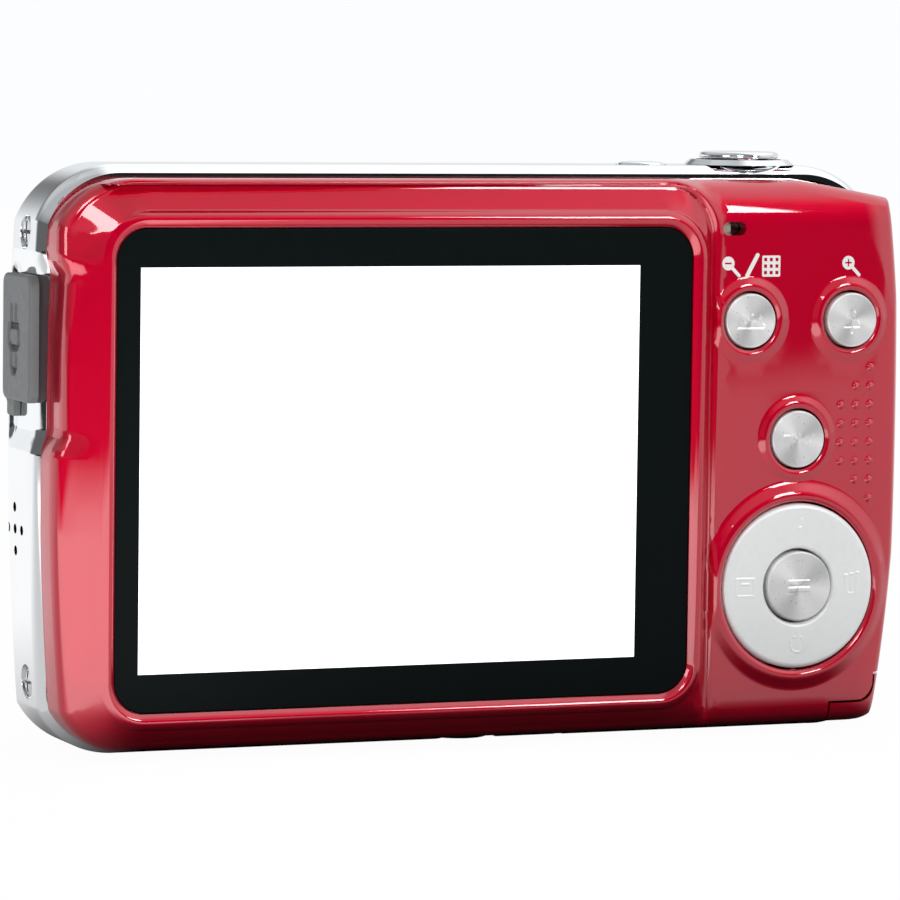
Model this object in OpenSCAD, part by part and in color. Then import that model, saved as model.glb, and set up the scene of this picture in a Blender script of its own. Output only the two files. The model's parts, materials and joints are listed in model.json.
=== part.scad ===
// Compact digital camera, in millimetres.
// X runs to the right as seen from behind, Y from the screen towards the lens, Z up.
// The origin is the mouth of the tripod socket, on the base.

/* [Body] */
// Width of the metal side frame
frame_w = 94.4; // [90:0.1:98]
// Height of the metal side frame
frame_h = 59.3; // [59:0.1:62]
// Corner radius of the side frame
frame_r = 7; // [5:0.5:9]
// Wall thickness of the side frame
frame_wall = 1.5; // [1.2:0.1:1.8]
// Wall thickness of the rear cover
rear_wall = 1.4; // [1:0.1:1.6]
// Corner radius of the rear cover
rear_r = 6; // [4:0.5:8]
// Wall thickness of the front cover
front_wall = 1.1; // [0.9:0.1:1.4]
// Front edge rounding of the front cover along the base
front_fillet = 3; // [2:0.5:4]
// Larger edge rounding along the front cover's sides and top
side_fillet = 5.5; // [4:0.5:6]

/* [Screen] */
// Width of the lit screen area
lit_w = 54; // [48:0.1:56]
// Height of the lit screen area
lit_h = 40.5; // [36:0.1:42]
// Width of the black screen window
window_w = 62.4; // [58:0.1:63]
// Height of the black screen window
window_h = 48.3; // [44:0.1:49]

/* [Buttons] */
// Radius of the two zoom buttons
zoom_r = 2.85; // [2.5:0.05:3]
// Radius of the mode button
mode_r = 3; // [2.6:0.05:3.2]
// Radius of the four-way pad
pad_r = 8.65; // [8:0.05:8.8]
// Radius of the menu button
menu_r = 3.65; // [3:0.05:3.8]
// Radius of the shutter button cap
shutter_r = 4.2; // [3.6:0.1:4.4]
// Radius of the power button
power_r = 2.5; // [2:0.1:2.6]

/* [Lens] */
// Radius of the chrome lens ring
lens_ring_r = 15.6; // [14.8:0.1:18]
// Height of the lens axis above the base
lens_z = 29; // [26:0.5:32]

/* [Battery and card] */
// Battery width
battery_w = 31.5; // [30:0.1:31.6]
// Battery height
battery_h = 39.5; // [36:0.1:39.6]
// Battery thickness
battery_t = 6; // [5:0.1:6.1]
// Memory card width
card_w = 24; // [23.9:0.1:24.1]
// Memory card height
card_h = 32; // [31.9:0.1:32.1]
// Memory card thickness
card_t = 2.1; // [2:0.1:2.2]

/* [Tripod socket] */
// Wall radius of the 1/4-20 tripod thread
tripod_r = 2.6; // [2.5:0.05:2.8]
// Depth of the tripod thread
tripod_depth = 5.5; // [5:0.1:5.6]

/* [Hidden] */
$fn = 48;
eps = 0.01;

// Depths along Y, from the screen side to the lens side
rear_y = -8.6;
seam_y = -4.2;
ridge_y = -2.7;
frame_y = 4.8;
front_y = 10.8;
lip_y = -10;
housing_y = -9.5;
bevel = 0.85;
side_r = 6.5;

// Outline of the side frame and of the covers
frame_x0 = -47.5;
frame_x1 = frame_x0 + frame_w;
rear_x0 = -46.65;
rear_x1 = 47.5;
rear_z0 = 0.7;
rear_z1 = 58;
rear_fillet = 2.6;
bulge_r = 180;
bulge_z = 32;
cover_gap = 0.15;

// Centres of the lit area and of the black window round it
screen_x = -11;
screen_z = 28.9;
window_x = -9.3;
window_z = 28.95;
glass_y = -9.3;
glass_t = 1;
panel_y = -7.1;

// Rear button centres
zoom_out_x = 28.8;
zoom_in_x = 40.5;
zoom_z = 43.35;
mode_x = 34.6;
mode_z = 30.9;
pad_x = 34.8;
pad_z = 15.5;
lamp_x = 26.9;
lamp_z = 52.9;

// Top button centres
shutter_x = 31.4;
power_x = 20.1;
top_y = 0.2;

// Lens, flash and lamp centres
lens_x = -10;
flash_x = 12;
flash_z = 49.8;
timer_x = -30;
timer_z = 47.5;
mic_x = -38;
mic_z = 47;

// Left side features
screw_z = [7.2, 52.4];
speaker_y = 1.9;
speaker_z = 22.5;
speaker_pitch = 2.2;
usb_y = 0.4;
usb_z = 41.8;
pocket_x = -46.5;
flap_pivot = [-47.1, 34.3];

// Battery bay and door
battery_x0 = 12;
battery_y0 = -1.6;
battery_z0 = 3.4;
card_x0 = 17;
card_y0 = 5.75;
card_z0 = 4;
door_x0 = 9.95;
door_y0 = -2.9;
door_y1 = 7.9;
door_z1 = 6;
door_gap = 0.3;
pivot_x = 10.9;
pivot_z = 0.75;
pin_r = 0.35;
base_screw_x = [-38, -22];

red = [0.62, 0.02, 0.05];
chrome = [0.85, 0.86, 0.88];
silver = [0.78, 0.79, 0.8];
black = [0.05, 0.05, 0.06];
grey = [0.22, 0.23, 0.24];
green = [0.1, 0.35, 0.2];
clear = [0.8, 0.88, 0.92, 0.5];
white = [0.95, 0.95, 0.95];
gold = [0.8, 0.65, 0.3];

// A box given by its two corners
module box(a, b) {
    translate(a) cube(b - a);
}

// A cylinder along Y between two depths
module rod_y(x, z, r, y0, y1) {
    translate([x, y0, z]) rotate([-90, 0, 0]) cylinder(r = r, h = y1 - y0);
}

// A cylinder along X between two stations
module rod_x(y, z, r, x0, x1) {
    translate([x0, y, z]) rotate([0, 90, 0]) cylinder(r = r, h = x1 - x0);
}

// A cylinder along Z between two heights
module rod_z(x, y, r, z0, z1) {
    translate([x, y, z0]) cylinder(r = r, h = z1 - z0);
}

// Half profile of a plate's edge: radial distance by depth, rounded at either end
module edge(r, y0, y1, rear_f = 0, front_f = 0) {
    difference() {
        translate([0, y0]) square([r, y1 - y0]);
        if (rear_f > 0) translate([r - rear_f, y0]) difference() {
            translate([0, -1]) square([rear_f + 1, rear_f + 1]);
            translate([0, rear_f]) circle(rear_f);
        }
        if (front_f > 0) translate([r - front_f, y1 - front_f]) difference() {
            square([front_f + 1, front_f + 1]);
            circle(front_f);
        }
    }
}

// A plate with round corners whose edge follows the half profile given as its child
module plate(x0, x1, z0, z1, r, y0, y1) {
    w = x1 - x0;
    h = z1 - z0;
    box([x0 + r, y0, z0 + r], [x1 - r, y1, z1 - r]);
    translate([(x0 + x1) / 2, 0, (z0 + z1) / 2]) {
        for (side = [0, 1]) mirror([side, 0, 0]) {
            translate([w / 2 - r, 0, r - h / 2]) linear_extrude(h - 2 * r) children();
            for (top = [0, 1]) mirror([0, 0, top])
                translate([w / 2 - r, 0, r - h / 2]) rotate([-90, 0, 0])
                    rotate_extrude(angle = 90) children();
        }
        for (top = [0, 1]) mirror([0, 0, top])
            translate([w / 2 - r, 0, h / 2 - r]) rotate([0, -90, 0])
                linear_extrude(w - 2 * r) children();
    }
}

// The slightly bowed right-hand side shared by the rear cover and the door corner
module bowed(shrink) {
    rod_y(rear_x1 - bulge_r, bulge_z, bulge_r - shrink, lip_y - 1, seam_y + 1);
}

module rear_outer() {
    intersection() {
        plate(rear_x0, rear_x1, rear_z0, rear_z1, rear_r, rear_y, seam_y - 0.05)
            edge(rear_r, rear_y, seam_y - 0.05, rear_fillet);
        bowed(0);
    }
}

module rear_inner() {
    intersection() {
        plate(rear_x0 + rear_wall, rear_x1 - rear_wall, rear_z0 + rear_wall, rear_z1 - rear_wall,
            rear_r - rear_wall, rear_y + rear_wall, seam_y)
            edge(rear_r - rear_wall, rear_y + rear_wall, seam_y, rear_fillet - rear_wall);
        bowed(rear_wall);
    }
}

module frame_outer() {
    plate(frame_x0, frame_x1, 0, frame_h, frame_r, seam_y, frame_y)
        polygon([[0, seam_y], [frame_r - bevel, seam_y], [frame_r, ridge_y], [frame_r, frame_y],
            [0, frame_y]]);
}

// The space inside the side frame, less a gap
module frame_inner(gap = 0) {
    inset = frame_wall + gap;
    plate(frame_x0 + inset, frame_x1 - inset, inset, frame_h - inset, frame_r - inset,
        seam_y - 1, frame_y + 1)
        edge(frame_r - inset, seam_y - 1, frame_y + 1);
}

// The front's larger rounding along its sides and top, shrunk by a wall; it runs past the base
module front_shoulder(shrink) {
    r = side_r - shrink;
    y0 = frame_y - 1;
    y1 = front_y - shrink;
    plate(frame_x0 + 0.5 + shrink, frame_x1 - 0.3 - shrink, shrink - 15, frame_h - 0.5 - shrink,
        r, y0, y1)
        edge(r, y0, y1, 0, side_fillet - shrink);
}

module front_outer() intersection() {
    plate(frame_x0 + cover_gap, frame_x1 - cover_gap, cover_gap, frame_h - cover_gap,
        frame_r - cover_gap, frame_y + 0.05, front_y)
        edge(frame_r - cover_gap, frame_y + 0.05, front_y, 0, front_fillet);
    front_shoulder(0);
}

module front_inner() {
    inset = cover_gap + front_wall;
    intersection() {
        plate(frame_x0 + inset, frame_x1 - inset, inset, frame_h - inset, frame_r - inset,
            frame_y, front_y - front_wall)
            edge(frame_r - inset, frame_y, front_y - front_wall, 0, front_fillet - front_wall);
        front_shoulder(front_wall);
    }
}

// Outline of the door's corner as it shows on the rear face, grown by a gap
module corner_shape(gap) {
    x0 = 39.2 - gap;
    x1 = 44.6 - gap;
    z0 = 2.85 + gap;
    z1 = door_z1 - door_gap + gap;
    fillet = 2;
    translate([x0, -2]) square([12, z0 + 2]);
    translate([x1, -2]) square([12, z1 + 2]);
    translate([x1 - fillet, z0 - eps]) difference() {
        square([fillet + eps, fillet + eps]);
        translate([0, fillet + eps]) circle(fillet);
    }
}

// The corner outline pushed through the depth
module corner_block(gap, y0, y1) {
    translate([0, y1, 0]) rotate([90, 0, 0]) linear_extrude(y1 - y0) corner_shape(gap);
}

// A slot with round ends along X, cut or filled through Y
module slot_x(x, z, w, h, y0, y1) {
    rod_y(x - (w - h) / 2, z, h / 2, y0, y1);
    rod_y(x + (w - h) / 2, z, h / 2, y0, y1);
    box([x - (w - h) / 2, y0, z - h / 2], [x + (w - h) / 2, y1, z + h / 2]);
}

module thumb_dots() {
    pitch = 1.97;
    columns = [[43.2, 31.35, 8], [41.5, 31.35, 6], [39.75, 31.35, 4]];
    for (c = columns, i = [0 : c[2] - 1])
        translate([c[0], rear_y + 0.1, c[1] + (i - (c[2] - 1) / 2) * pitch]) sphere(0.5, $fn = 16);
}

module rear_cover() color(red) {
    window_gap = 0.1;
    difference() {
        union() {
            rear_outer();
            plate(-43, 25.2, 2.6, 55.6, 4.5, housing_y, rear_y + 0.5)
                edge(4.5, housing_y, rear_y + 0.5, 0.6);
            plate(-41.7, 23.1, 3.6, 54.2, 4.2, lip_y, housing_y + 0.5)
                edge(4.2, lip_y, housing_y + 0.5, 0.4);
            rod_y(pad_x, pad_z, 10.1, rear_y - 0.7, rear_y + 0.2);
            rod_y(zoom_out_x, zoom_z, 4, rear_y - 0.5, rear_y + 0.2);
            rod_y(zoom_in_x, zoom_z, 4, rear_y - 0.5, rear_y + 0.2);
            thumb_dots();
        }
        rear_inner();
        plate(window_x - window_w / 2 - window_gap, window_x + window_w / 2 + window_gap,
            window_z - window_h / 2 - window_gap, window_z + window_h / 2 + window_gap,
            3.3, lip_y - 1, glass_y + glass_t + 0.05)
            edge(3.3, lip_y - 1, glass_y + glass_t + 0.05);
        box([screen_x - lit_w / 2 - 1.2, -9, screen_z - lit_h / 2 - 1.2],
            [screen_x + lit_w / 2 + 1.2, -7, screen_z + lit_h / 2 + 1.2]);
        rod_y(pad_x, pad_z, pad_r + 0.3, -11, -7);
        rod_y(pad_x, pad_z, 9.95, -7.5, -7);
        rod_y(zoom_out_x, zoom_z, zoom_r + 0.3, -11, -7);
        rod_y(zoom_in_x, zoom_z, zoom_r + 0.3, -11, -7);
        rod_y(mode_x, mode_z, mode_r + 0.3, -11, -7);
        slot_x(lamp_x, lamp_z, 2.7, 1.4, -11, -7);
        box([-50, -12, 31.6], [-46.15, 0, 49.4]);
        corner_block(door_gap, -12, 0);
    }
}

module side_frame() color(chrome) difference() {
    frame_outer();
    frame_inner();
    box([-50, -6, 31.6], [pocket_x, 6, 49.4]);
    box([-48, usb_y - 1.8, usb_z - 4.3], [-45, usb_y + 1.8, usb_z + 4.3]);
    for (z = screw_z) {
        rod_x(top_y, z, 1.75, -48, -46.8);
        rod_x(top_y, z, 0.85, -47, -45);
    }
    for (s = [[0, 0], [1, 0], [-1, 0], [0, 1], [0, -1]])
        rod_x(speaker_y + s[0] * speaker_pitch, speaker_z + s[1] * speaker_pitch, 0.5, -48, -45);
    rod_z(shutter_x, top_y, 3.4, 57, 60);
    rod_z(power_x, top_y, power_r + 0.2, 57, 60);
    rod_z(0, 0, 4.3, -1, 2);
    for (x = base_screw_x) {
        rod_z(x, top_y, 1.75, -1, 0.7);
        rod_z(x, top_y, 0.85, 0, 2);
    }
    box([45, -1.6, 46], [48, 2.2, 52.4]);
    box([door_x0, door_y0, -1], [50, 6, door_z1]);
    corner_block(door_gap, -6, 0);
    rod_y(pivot_x, pivot_z, pin_r + 0.01, -3.65, 0);
}

module front_cover() color(red) difference() {
    front_outer();
    front_inner();
    rod_y(lens_x, lens_z, 14.3, 9, 12);
    box([flash_x - 6.1, 9, flash_z - 3.3], [flash_x + 6.1, 12, flash_z + 3.3]);
    rod_y(timer_x, timer_z, 1.7, 9, 12);
    rod_y(mic_x, mic_z, 0.5, 9, 12);
    box([door_x0, 4, -1], [50, door_y1, door_z1]);
    rod_y(pivot_x, pivot_z, pin_r + 0.01, 7, 8.45);
}

module chassis() color(silver) difference() {
    intersection() {
        union() {
            box([-45, -4.15, 3], [45, -3.65, 56]);
            for (z = screw_z) box([-45.9, -4.15, z - 2.2], [-42.8, 2.6, z + 2.2]);
            for (x = base_screw_x) box([x - 2.2, -4.15, 1.6], [x + 2.2, 2.4, 5.4]);
        }
        frame_inner(0.06);
    }
    for (z = screw_z) rod_x(top_y, z, 0.76, -47, -42);
    for (x = base_screw_x) rod_z(x, top_y, 0.76, 0, 5);
    box([-4.8, -5, 0], [4.8, 0, 7.2]);
    box([18.9, -5, 20], [20.2, 0, 35]);
    box([37, -5, 0], [50, 0, 7.5]);
    box([-34, -5, 14], [2, -3, 46]);
}

// A screw pointing along +Z, its head face at the origin, with a cross recess
module screw(length) {
    difference() {
        rod_z(0, 0, 1.6, 0, 0.6);
        box([-1.1, -0.2, -eps], [1.1, 0.2, 0.35]);
        box([-0.2, -1.1, -eps], [0.2, 1.1, 0.35]);
    }
    rod_z(0, 0, 0.75, 0.6, length);
}

module side_screws() color(silver)
    for (z = screw_z) translate([-47.4, top_y, z]) rotate([0, 90, 0]) screw(4.4);

module base_screws() color(silver)
    for (x = base_screw_x) translate([x, top_y, 0.1]) screw(4.6);

module tripod_socket() color(silver) difference() {
    union() {
        rod_z(0, 0, 4.2, 0, 6.4);
        box([-8, -3.6, 1.6], [8, 3.6, 2.8]);
    }
    rod_z(0, 0, tripod_r, -1, tripod_depth);
}

module strap_lug() color(silver) {
    difference() {
        box([42.6, -1.5, 46.1], [46.8, 2.1, 52.3]);
        box([43.4, -1.1, 46.6], [48, 1.7, 51.8]);
    }
    rod_z(45.9, 0.3, 0.65, 46.3, 52.1);
}

module lcd_window() color(clear)
    plate(window_x - window_w / 2, window_x + window_w / 2, window_z - window_h / 2,
        window_z + window_h / 2, 3.2, glass_y, glass_y + glass_t)
        edge(3.2, glass_y, glass_y + glass_t, 0.15);

module lcd_panel() color(white)
    box([-40, panel_y, 6.7], [18, panel_y + 1.3, 51.2]);

module lcd_backlight() color(grey)
    box([-40.3, panel_y + 1.4, 6.9], [18.3, panel_y + 2.75, 51]);

module lcd_ribbon() color(gold) translate([0, 0, 21]) linear_extrude(13) polygon([
    [18.1, -6.5], [19.6, -6.5], [19.6, -3.3], [8, -3.3], [8, -3.5], [19.4, -3.5], [19.4, -6.3],
    [18.1, -6.3]]);

module status_lamp() color(clear)
    slot_x(lamp_x, lamp_z, 2.5, 1.2, rear_y - 0.1, -6.2);

// A disc button with a retaining flange and a short stem
module disc_button(x, z, r, face_y) {
    difference() {
        rod_y(x, z, r, face_y, -6.8);
        rod_y(x, z, r - 0.5, face_y - 1, face_y + 0.12);
    }
    rod_y(x, z, r - 0.52, face_y, face_y + 0.2);
    rod_y(x, z, r + 0.7, -7.1, -6.8);
    rod_y(x, z, 1, -6.9, -6.45);
}

module zoom_out_button() color(silver) disc_button(zoom_out_x, zoom_z, zoom_r, -9.1);

module zoom_in_button() color(silver) disc_button(zoom_in_x, zoom_z, zoom_r, -9.1);

module mode_button() color(silver) disc_button(mode_x, mode_z, mode_r, -8.9);

module four_way_pad() color(silver) difference() {
    union() {
        rod_y(pad_x, pad_z, pad_r, -9.15, -6.6);
        rod_y(pad_x, pad_z, 9.4, -6.85, -6.6);
    }
    rod_y(pad_x, pad_z, menu_r + 0.3, -10, -6);
}

module pad_pivot() color(chrome) difference() {
    rod_y(pad_x, pad_z, 5.4, -6.35, -6.1);
    rod_y(pad_x, pad_z, 4.5, -7, -6);
}

module menu_button() color(silver) {
    rod_y(pad_x, pad_z, menu_r, -9.35, -6.05);
    rod_y(pad_x, pad_z, 4.2, -6.3, -6.05);
}

key_spots = [
    [zoom_out_x, zoom_z], [zoom_in_x, zoom_z], [mode_x, mode_z], [pad_x, pad_z],
    [pad_x - 7, pad_z], [pad_x + 7, pad_z], [pad_x, pad_z - 7], [pad_x, pad_z + 7]];

module key_mat() color(grey) difference() {
    box([22, -5.95, 8.2], [44.3, -5.55, 47.5]);
    rod_y(pad_x, pad_z, 5.9, -7, -5);
}

module dome_sheet() color(silver) {
    box([22, -5.25, 8.2], [44.3, -5.12, 47.5]);
    for (p = key_spots) translate([p[0], -5.2, p[1]]) rotate([90, 0, 0])
        cylinder(r1 = 2, r2 = 1.2, h = 0.28);
}

module key_board() color(green) box([21.5, -5.1, 8], [44.1, -4.5, 54.5]);

module shutter_collar() color(chrome) difference() {
    translate([shutter_x, top_y, frame_h + 0.02]) cylinder(r1 = 5.8, r2 = 5.2, h = 0.55);
    rod_z(shutter_x, top_y, shutter_r + 0.3, 59, 61);
}

module shutter_button() color(chrome) {
    rod_z(shutter_x, top_y, shutter_r, 60, 60.7);
    rod_z(shutter_x, top_y, 3, 57, 60.1);
    rod_z(shutter_x, top_y, 3.9, 56.8, 57.3);
    rod_z(shutter_x, top_y, 1.2, 54.9, 57);
}

module shutter_spring() color(silver)
    translate([shutter_x, top_y, 54.1])
        linear_extrude(height = 2.45, twist = -1080, slices = 36)
            translate([2.3, 0]) circle(0.2, $fn = 6);

module power_button() color(silver) {
    rod_z(power_x, top_y, power_r, 57.2, 59.65);
    rod_z(power_x, top_y, power_r + 0.6, 56.9, 57.3);
    rod_z(power_x, top_y, 1, 54.8, 57);
}

module top_board() color(green) box([15, -3.3, 53], [37, 3.8, 53.8]);

module shutter_switch() color(grey) rod_z(shutter_x, top_y, 1.8, 53.82, 54.2);

module power_switch() color(grey) rod_z(power_x, top_y, 1.8, 53.82, 54.2);

// A ring or shroud turned about the lens axis from points of radius and depth
module turned(points) {
    translate([lens_x, 0, lens_z]) rotate([-90, 0, 0]) rotate_extrude() polygon(points);
}

module lens_ring() color(chrome)
    turned([[13.35, 8.8], [14.2, 8.8], [14.2, 10.85], [lens_ring_r, 10.85],
        [lens_ring_r - 0.1, 11.5], [14.8, 12.8], [14.2, 13.3], [13.35, 13.3]]);

module lens_barrel() color(black)
    turned([[6.2, 7], [13.2, 7], [13.2, 12.4], [12.4, 12.4], [11.9, 11.2], [10.6, 11.2],
        [10.1, 10.2], [7.6, 10.2], [7.6, 9.2], [6.2, 9.2]]);

module lens_window() color(clear) rod_y(lens_x, lens_z, 7.5, 9.25, 10);

// A two-sided lens between two depths, turned from the overlap of two arcs
module lens_element(r, y0, y1, curve) {
    translate([lens_x, 0, lens_z]) rotate([-90, 0, 0]) rotate_extrude() intersection() {
        translate([0, y0 - 1]) square([r, y1 - y0 + 2]);
        translate([0, y0 + curve]) circle(curve, $fn = 240);
        translate([0, y1 - curve]) circle(curve, $fn = 240);
    }
}

module front_lens() color(clear) lens_element(5, 4.4, 6.6, 14);

module middle_lens() color(clear) lens_element(5, 2.1, 4.2, 16);

module rear_lens() color(clear) lens_element(3.9, -0.4, 1.7, 10);

module lens_holder() color(black) difference() {
    union() {
        box([lens_x - 8, -1.65, lens_z - 8], [lens_x + 8, 1.2, lens_z + 8]);
        rod_y(lens_x, lens_z, 6.8, 1, 6.7);
    }
    box([lens_x - 4.8, -2, lens_z - 3.8], [lens_x + 4.8, -0.6, lens_z + 3.8]);
    rod_y(lens_x, lens_z, 4, -1, 2);
    rod_y(lens_x, lens_z, 5.1, 1.9, 7);
}

module image_sensor() color(grey)
    box([lens_x - 4.2, -1.68, lens_z - 3.2], [lens_x + 4.2, -0.9, lens_z + 3.2]);

module sensor_board() color(green)
    box([lens_x - 9, -2.3, lens_z - 9], [lens_x + 9, -1.7, lens_z + 9]);

module main_board() color(green) box([-42.4, -3.2, 8], [10.8, -2.4, 54.5]);

module processor_chip() color(grey) box([-37, -2.38, 29], [-24, -1.3, 42]);

module memory_chip() color(grey) box([-36, -2.38, 13], [-25, -1.3, 21]);

module flash_window() color(clear)
    box([flash_x - 6, 9.75, flash_z - 3.2], [flash_x + 6, 10.75, flash_z + 3.2]);

module flash_reflector() color(chrome) difference() {
    box([flash_x - 5.6, 5.5, flash_z - 3.1], [flash_x + 5.6, 9.6, flash_z + 3.1]);
    rod_x(8.9, flash_z, 2.8, flash_x - 7, flash_x + 7);
}

module flash_tube() color(clear) rod_x(7.5, flash_z, 0.9, flash_x - 6.6, flash_x + 6.6);

module flash_capacitor() color(black) rod_x(5.8, 49.3, 3, 20.5, 42.4);

module timer_lamp() color(clear) rod_y(timer_x, timer_z, 1.6, 8.6, 10.75);

module microphone() color(silver) rod_y(mic_x, mic_z, 2, 8, 9.6);

module speaker() color(grey) rod_x(speaker_y, speaker_z, 3.8, -45.8, -43.5);

module usb_socket() color(silver) difference() {
    box([pocket_x + 0.05, usb_y - 1.6, usb_z - 4.1], [-41, usb_y + 1.6, usb_z + 4.1]);
    box([-48, usb_y - 1.3, usb_z - 3.8], [-41.6, usb_y + 1.3, usb_z + 3.8]);
}

module usb_flap() color(grey) {
    difference() {
        plate_flap();
        flap_groove();
    }
    box([-46.7, usb_y - 0.95, usb_z - 3.3], [-45.8, usb_y + 0.95, usb_z + 3.3]);
    box([flap_pivot[0] - 0.45, 1.5, flap_pivot[1]], [flap_pivot[0] + 0.45, 4.1, 36]);
    rod_y(flap_pivot[0], flap_pivot[1], 0.45, 1.5, 4.1);
}

module plate_flap() {
    for (y = [-3.4, 3.4], z = [36.7, 47]) rod_x(y, z, 1.2, -48, -46.65);
    box([-48, -4.6, 36.7], [-46.65, 4.6, 47]);
    box([-48, -3.4, 35.5], [-46.65, 3.4, 48.2]);
}

// A generic plug sign pressed into the flap: body, two prongs and a cable
module flap_groove() {
    rod_x(0, 41.8, 1.3, -49, -47.85);
    for (y = [-0.9, 0.9]) box([-49, y - 0.25, 42.8], [-47.85, y + 0.25, 45]);
    box([-49, -0.25, 38.4], [-47.85, 0.25, 41]);
}

module battery_holder() color(grey) difference() {
    box([11.2, -2.3, 4], [44.2, 4.9, 45.6]);
    box([battery_x0 - 0.2, battery_y0 - 0.15, 0],
        [battery_x0 + battery_w + 0.2, battery_y0 + battery_t + 0.15, 44.4]);
}

module battery() color(black)
    box([battery_x0, battery_y0, battery_z0],
        [battery_x0 + battery_w, battery_y0 + battery_t, battery_z0 + battery_h]);

module battery_contacts() color(gold)
    for (x = [30, 33, 36]) box([x - 0.75, 0.2, 43], [x + 0.75, 2.6, 44.35]);

module battery_latch() color([0.9, 0.45, 0.1]) {
    box([12.2, 3.3, 2.3], [15.4, 6.8, 3]);
    box([12.6, 5.3, 2.9], [15, 6.3, 9]);
}

module card_socket() color(silver) difference() {
    box([card_x0 - 0.8, 5.1, 5], [card_x0 + card_w + 0.8, 8.5, 38.5]);
    box([card_x0 - 0.2, card_y0 - 0.15, 0],
        [card_x0 + card_w + 0.2, card_y0 + card_t + 0.15, 37.8]);
}

module memory_card() color(grey) difference() {
    box([card_x0, card_y0, card_z0], [card_x0 + card_w, card_y0 + card_t, card_z0 + card_h]);
    translate([card_x0 + card_w, card_y0 - 1, card_z0 + card_h]) rotate([0, 45, 0])
        cube([5.7, 8, 5.7], center = true);
}

module battery_door() color(red) difference() {
    union() {
        intersection() {
            frame_outer();
            union() {
                box([pivot_x, door_y0 + door_gap, -1], [50, frame_y, door_z1 - door_gap]);
                corner_block(0, -6, door_y0 + door_gap + eps);
            }
        }
        intersection() {
            front_outer_full();
            front_shoulder(0);
            box([pivot_x, frame_y - eps, -1], [50, door_y1 - door_gap, door_z1 - door_gap]);
        }
        intersection() {
            rear_outer_full();
            corner_block(0, -12, seam_y + eps);
        }
        rod_y(pivot_x, pivot_z, 0.65, door_y0 + door_gap, door_y1 - door_gap);
    }
    door_inner();
    rod_y(pivot_x, pivot_z, pin_r + 0.05, -4, 9);
    box([pivot_x - 1, door_y0 - 1, -1], [pivot_x, door_y1, 0.1]);
}

// The covers' outlines carried across their seams, so that the door is one piece
module front_outer_full() {
    plate(frame_x0, frame_x1, 0, frame_h, frame_r, frame_y - eps, front_y)
        edge(frame_r, frame_y - eps, front_y);
}

module rear_outer_full() {
    intersection() {
        plate(rear_x0, rear_x1, rear_z0, rear_z1, rear_r, rear_y, seam_y + eps)
            edge(rear_r, rear_y, seam_y + eps, rear_fillet);
        bowed(0);
    }
}

module door_inner() {
    wall = 1.35;
    plate(frame_x0 + wall, frame_x1 - wall, wall, frame_h - wall, frame_r - wall,
        seam_y, front_y)
        edge(frame_r - wall, seam_y, front_y);
    rear_inner();
    box([30, seam_y - 1, rear_z0 + rear_wall], [43, seam_y + 1, 12]);
}

module door_hinge_pin() color(silver) rod_y(pivot_x, pivot_z, pin_r, -3.6, 8.4);

rear_cover();
side_frame();
front_cover();
chassis();
side_screws();
base_screws();
tripod_socket();
strap_lug();
lcd_window();
lcd_panel();
lcd_backlight();
lcd_ribbon();
status_lamp();
zoom_out_button();
zoom_in_button();
mode_button();
four_way_pad();
pad_pivot();
menu_button();
key_mat();
dome_sheet();
key_board();
shutter_collar();
shutter_button();
shutter_spring();
power_button();
top_board();
shutter_switch();
power_switch();
lens_ring();
lens_barrel();
lens_window();
front_lens();
middle_lens();
rear_lens();
lens_holder();
image_sensor();
sensor_board();
main_board();
processor_chip();
memory_chip();
flash_window();
flash_reflector();
flash_tube();
flash_capacitor();
timer_lamp();
microphone();
speaker();
usb_socket();
usb_flap();
battery_holder();
battery();
battery_contacts();
battery_latch();
card_socket();
memory_card();
battery_door();
door_hinge_pin();
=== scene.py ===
import math

import bpy
import numpy as np
from mathutils import Matrix, Vector
from mathutils.geometry import delaunay_2d_cdt
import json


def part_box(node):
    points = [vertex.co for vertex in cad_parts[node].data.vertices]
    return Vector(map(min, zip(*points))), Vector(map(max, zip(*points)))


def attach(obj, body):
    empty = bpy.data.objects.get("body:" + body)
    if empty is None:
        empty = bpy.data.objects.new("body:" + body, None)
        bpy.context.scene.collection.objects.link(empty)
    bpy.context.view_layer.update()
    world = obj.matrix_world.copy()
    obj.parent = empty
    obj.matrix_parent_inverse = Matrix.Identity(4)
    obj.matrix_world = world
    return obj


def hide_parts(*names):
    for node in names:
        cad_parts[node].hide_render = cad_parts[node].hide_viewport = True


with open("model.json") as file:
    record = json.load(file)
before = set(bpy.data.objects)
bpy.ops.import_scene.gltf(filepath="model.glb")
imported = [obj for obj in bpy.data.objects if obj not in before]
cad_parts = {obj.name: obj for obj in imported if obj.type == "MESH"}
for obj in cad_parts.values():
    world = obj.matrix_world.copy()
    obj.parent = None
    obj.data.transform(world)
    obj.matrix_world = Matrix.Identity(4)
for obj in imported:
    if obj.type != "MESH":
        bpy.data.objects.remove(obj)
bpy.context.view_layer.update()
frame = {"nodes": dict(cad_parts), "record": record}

# Shapes are worked out in millimetres and turned into metres when a mesh is made.
MM = 0.001


def box(node):
    """Lowest and highest corner of a CAD node, in millimetres."""
    low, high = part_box(node)
    return np.array(low) / MM, np.array(high) / MM


def centre(node):
    low, high = box(node)
    return (low + high) / 2


# ---------------------------------------------------------------- axes of a face
# Each face has two directions across it and one out of it towards the viewer.
REAR = np.array([(1, 0, 0), (0, 0, 1), (0, -1, 0)], float)
FRONT = np.array([(-1, 0, 0), (0, 0, 1), (0, 1, 0)], float)
LEFT = np.array([(0, -1, 0), (0, 0, 1), (-1, 0, 0)], float)
TOP = np.array([(1, 0, 0), (0, 1, 0), (0, 0, 1)], float)


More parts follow.
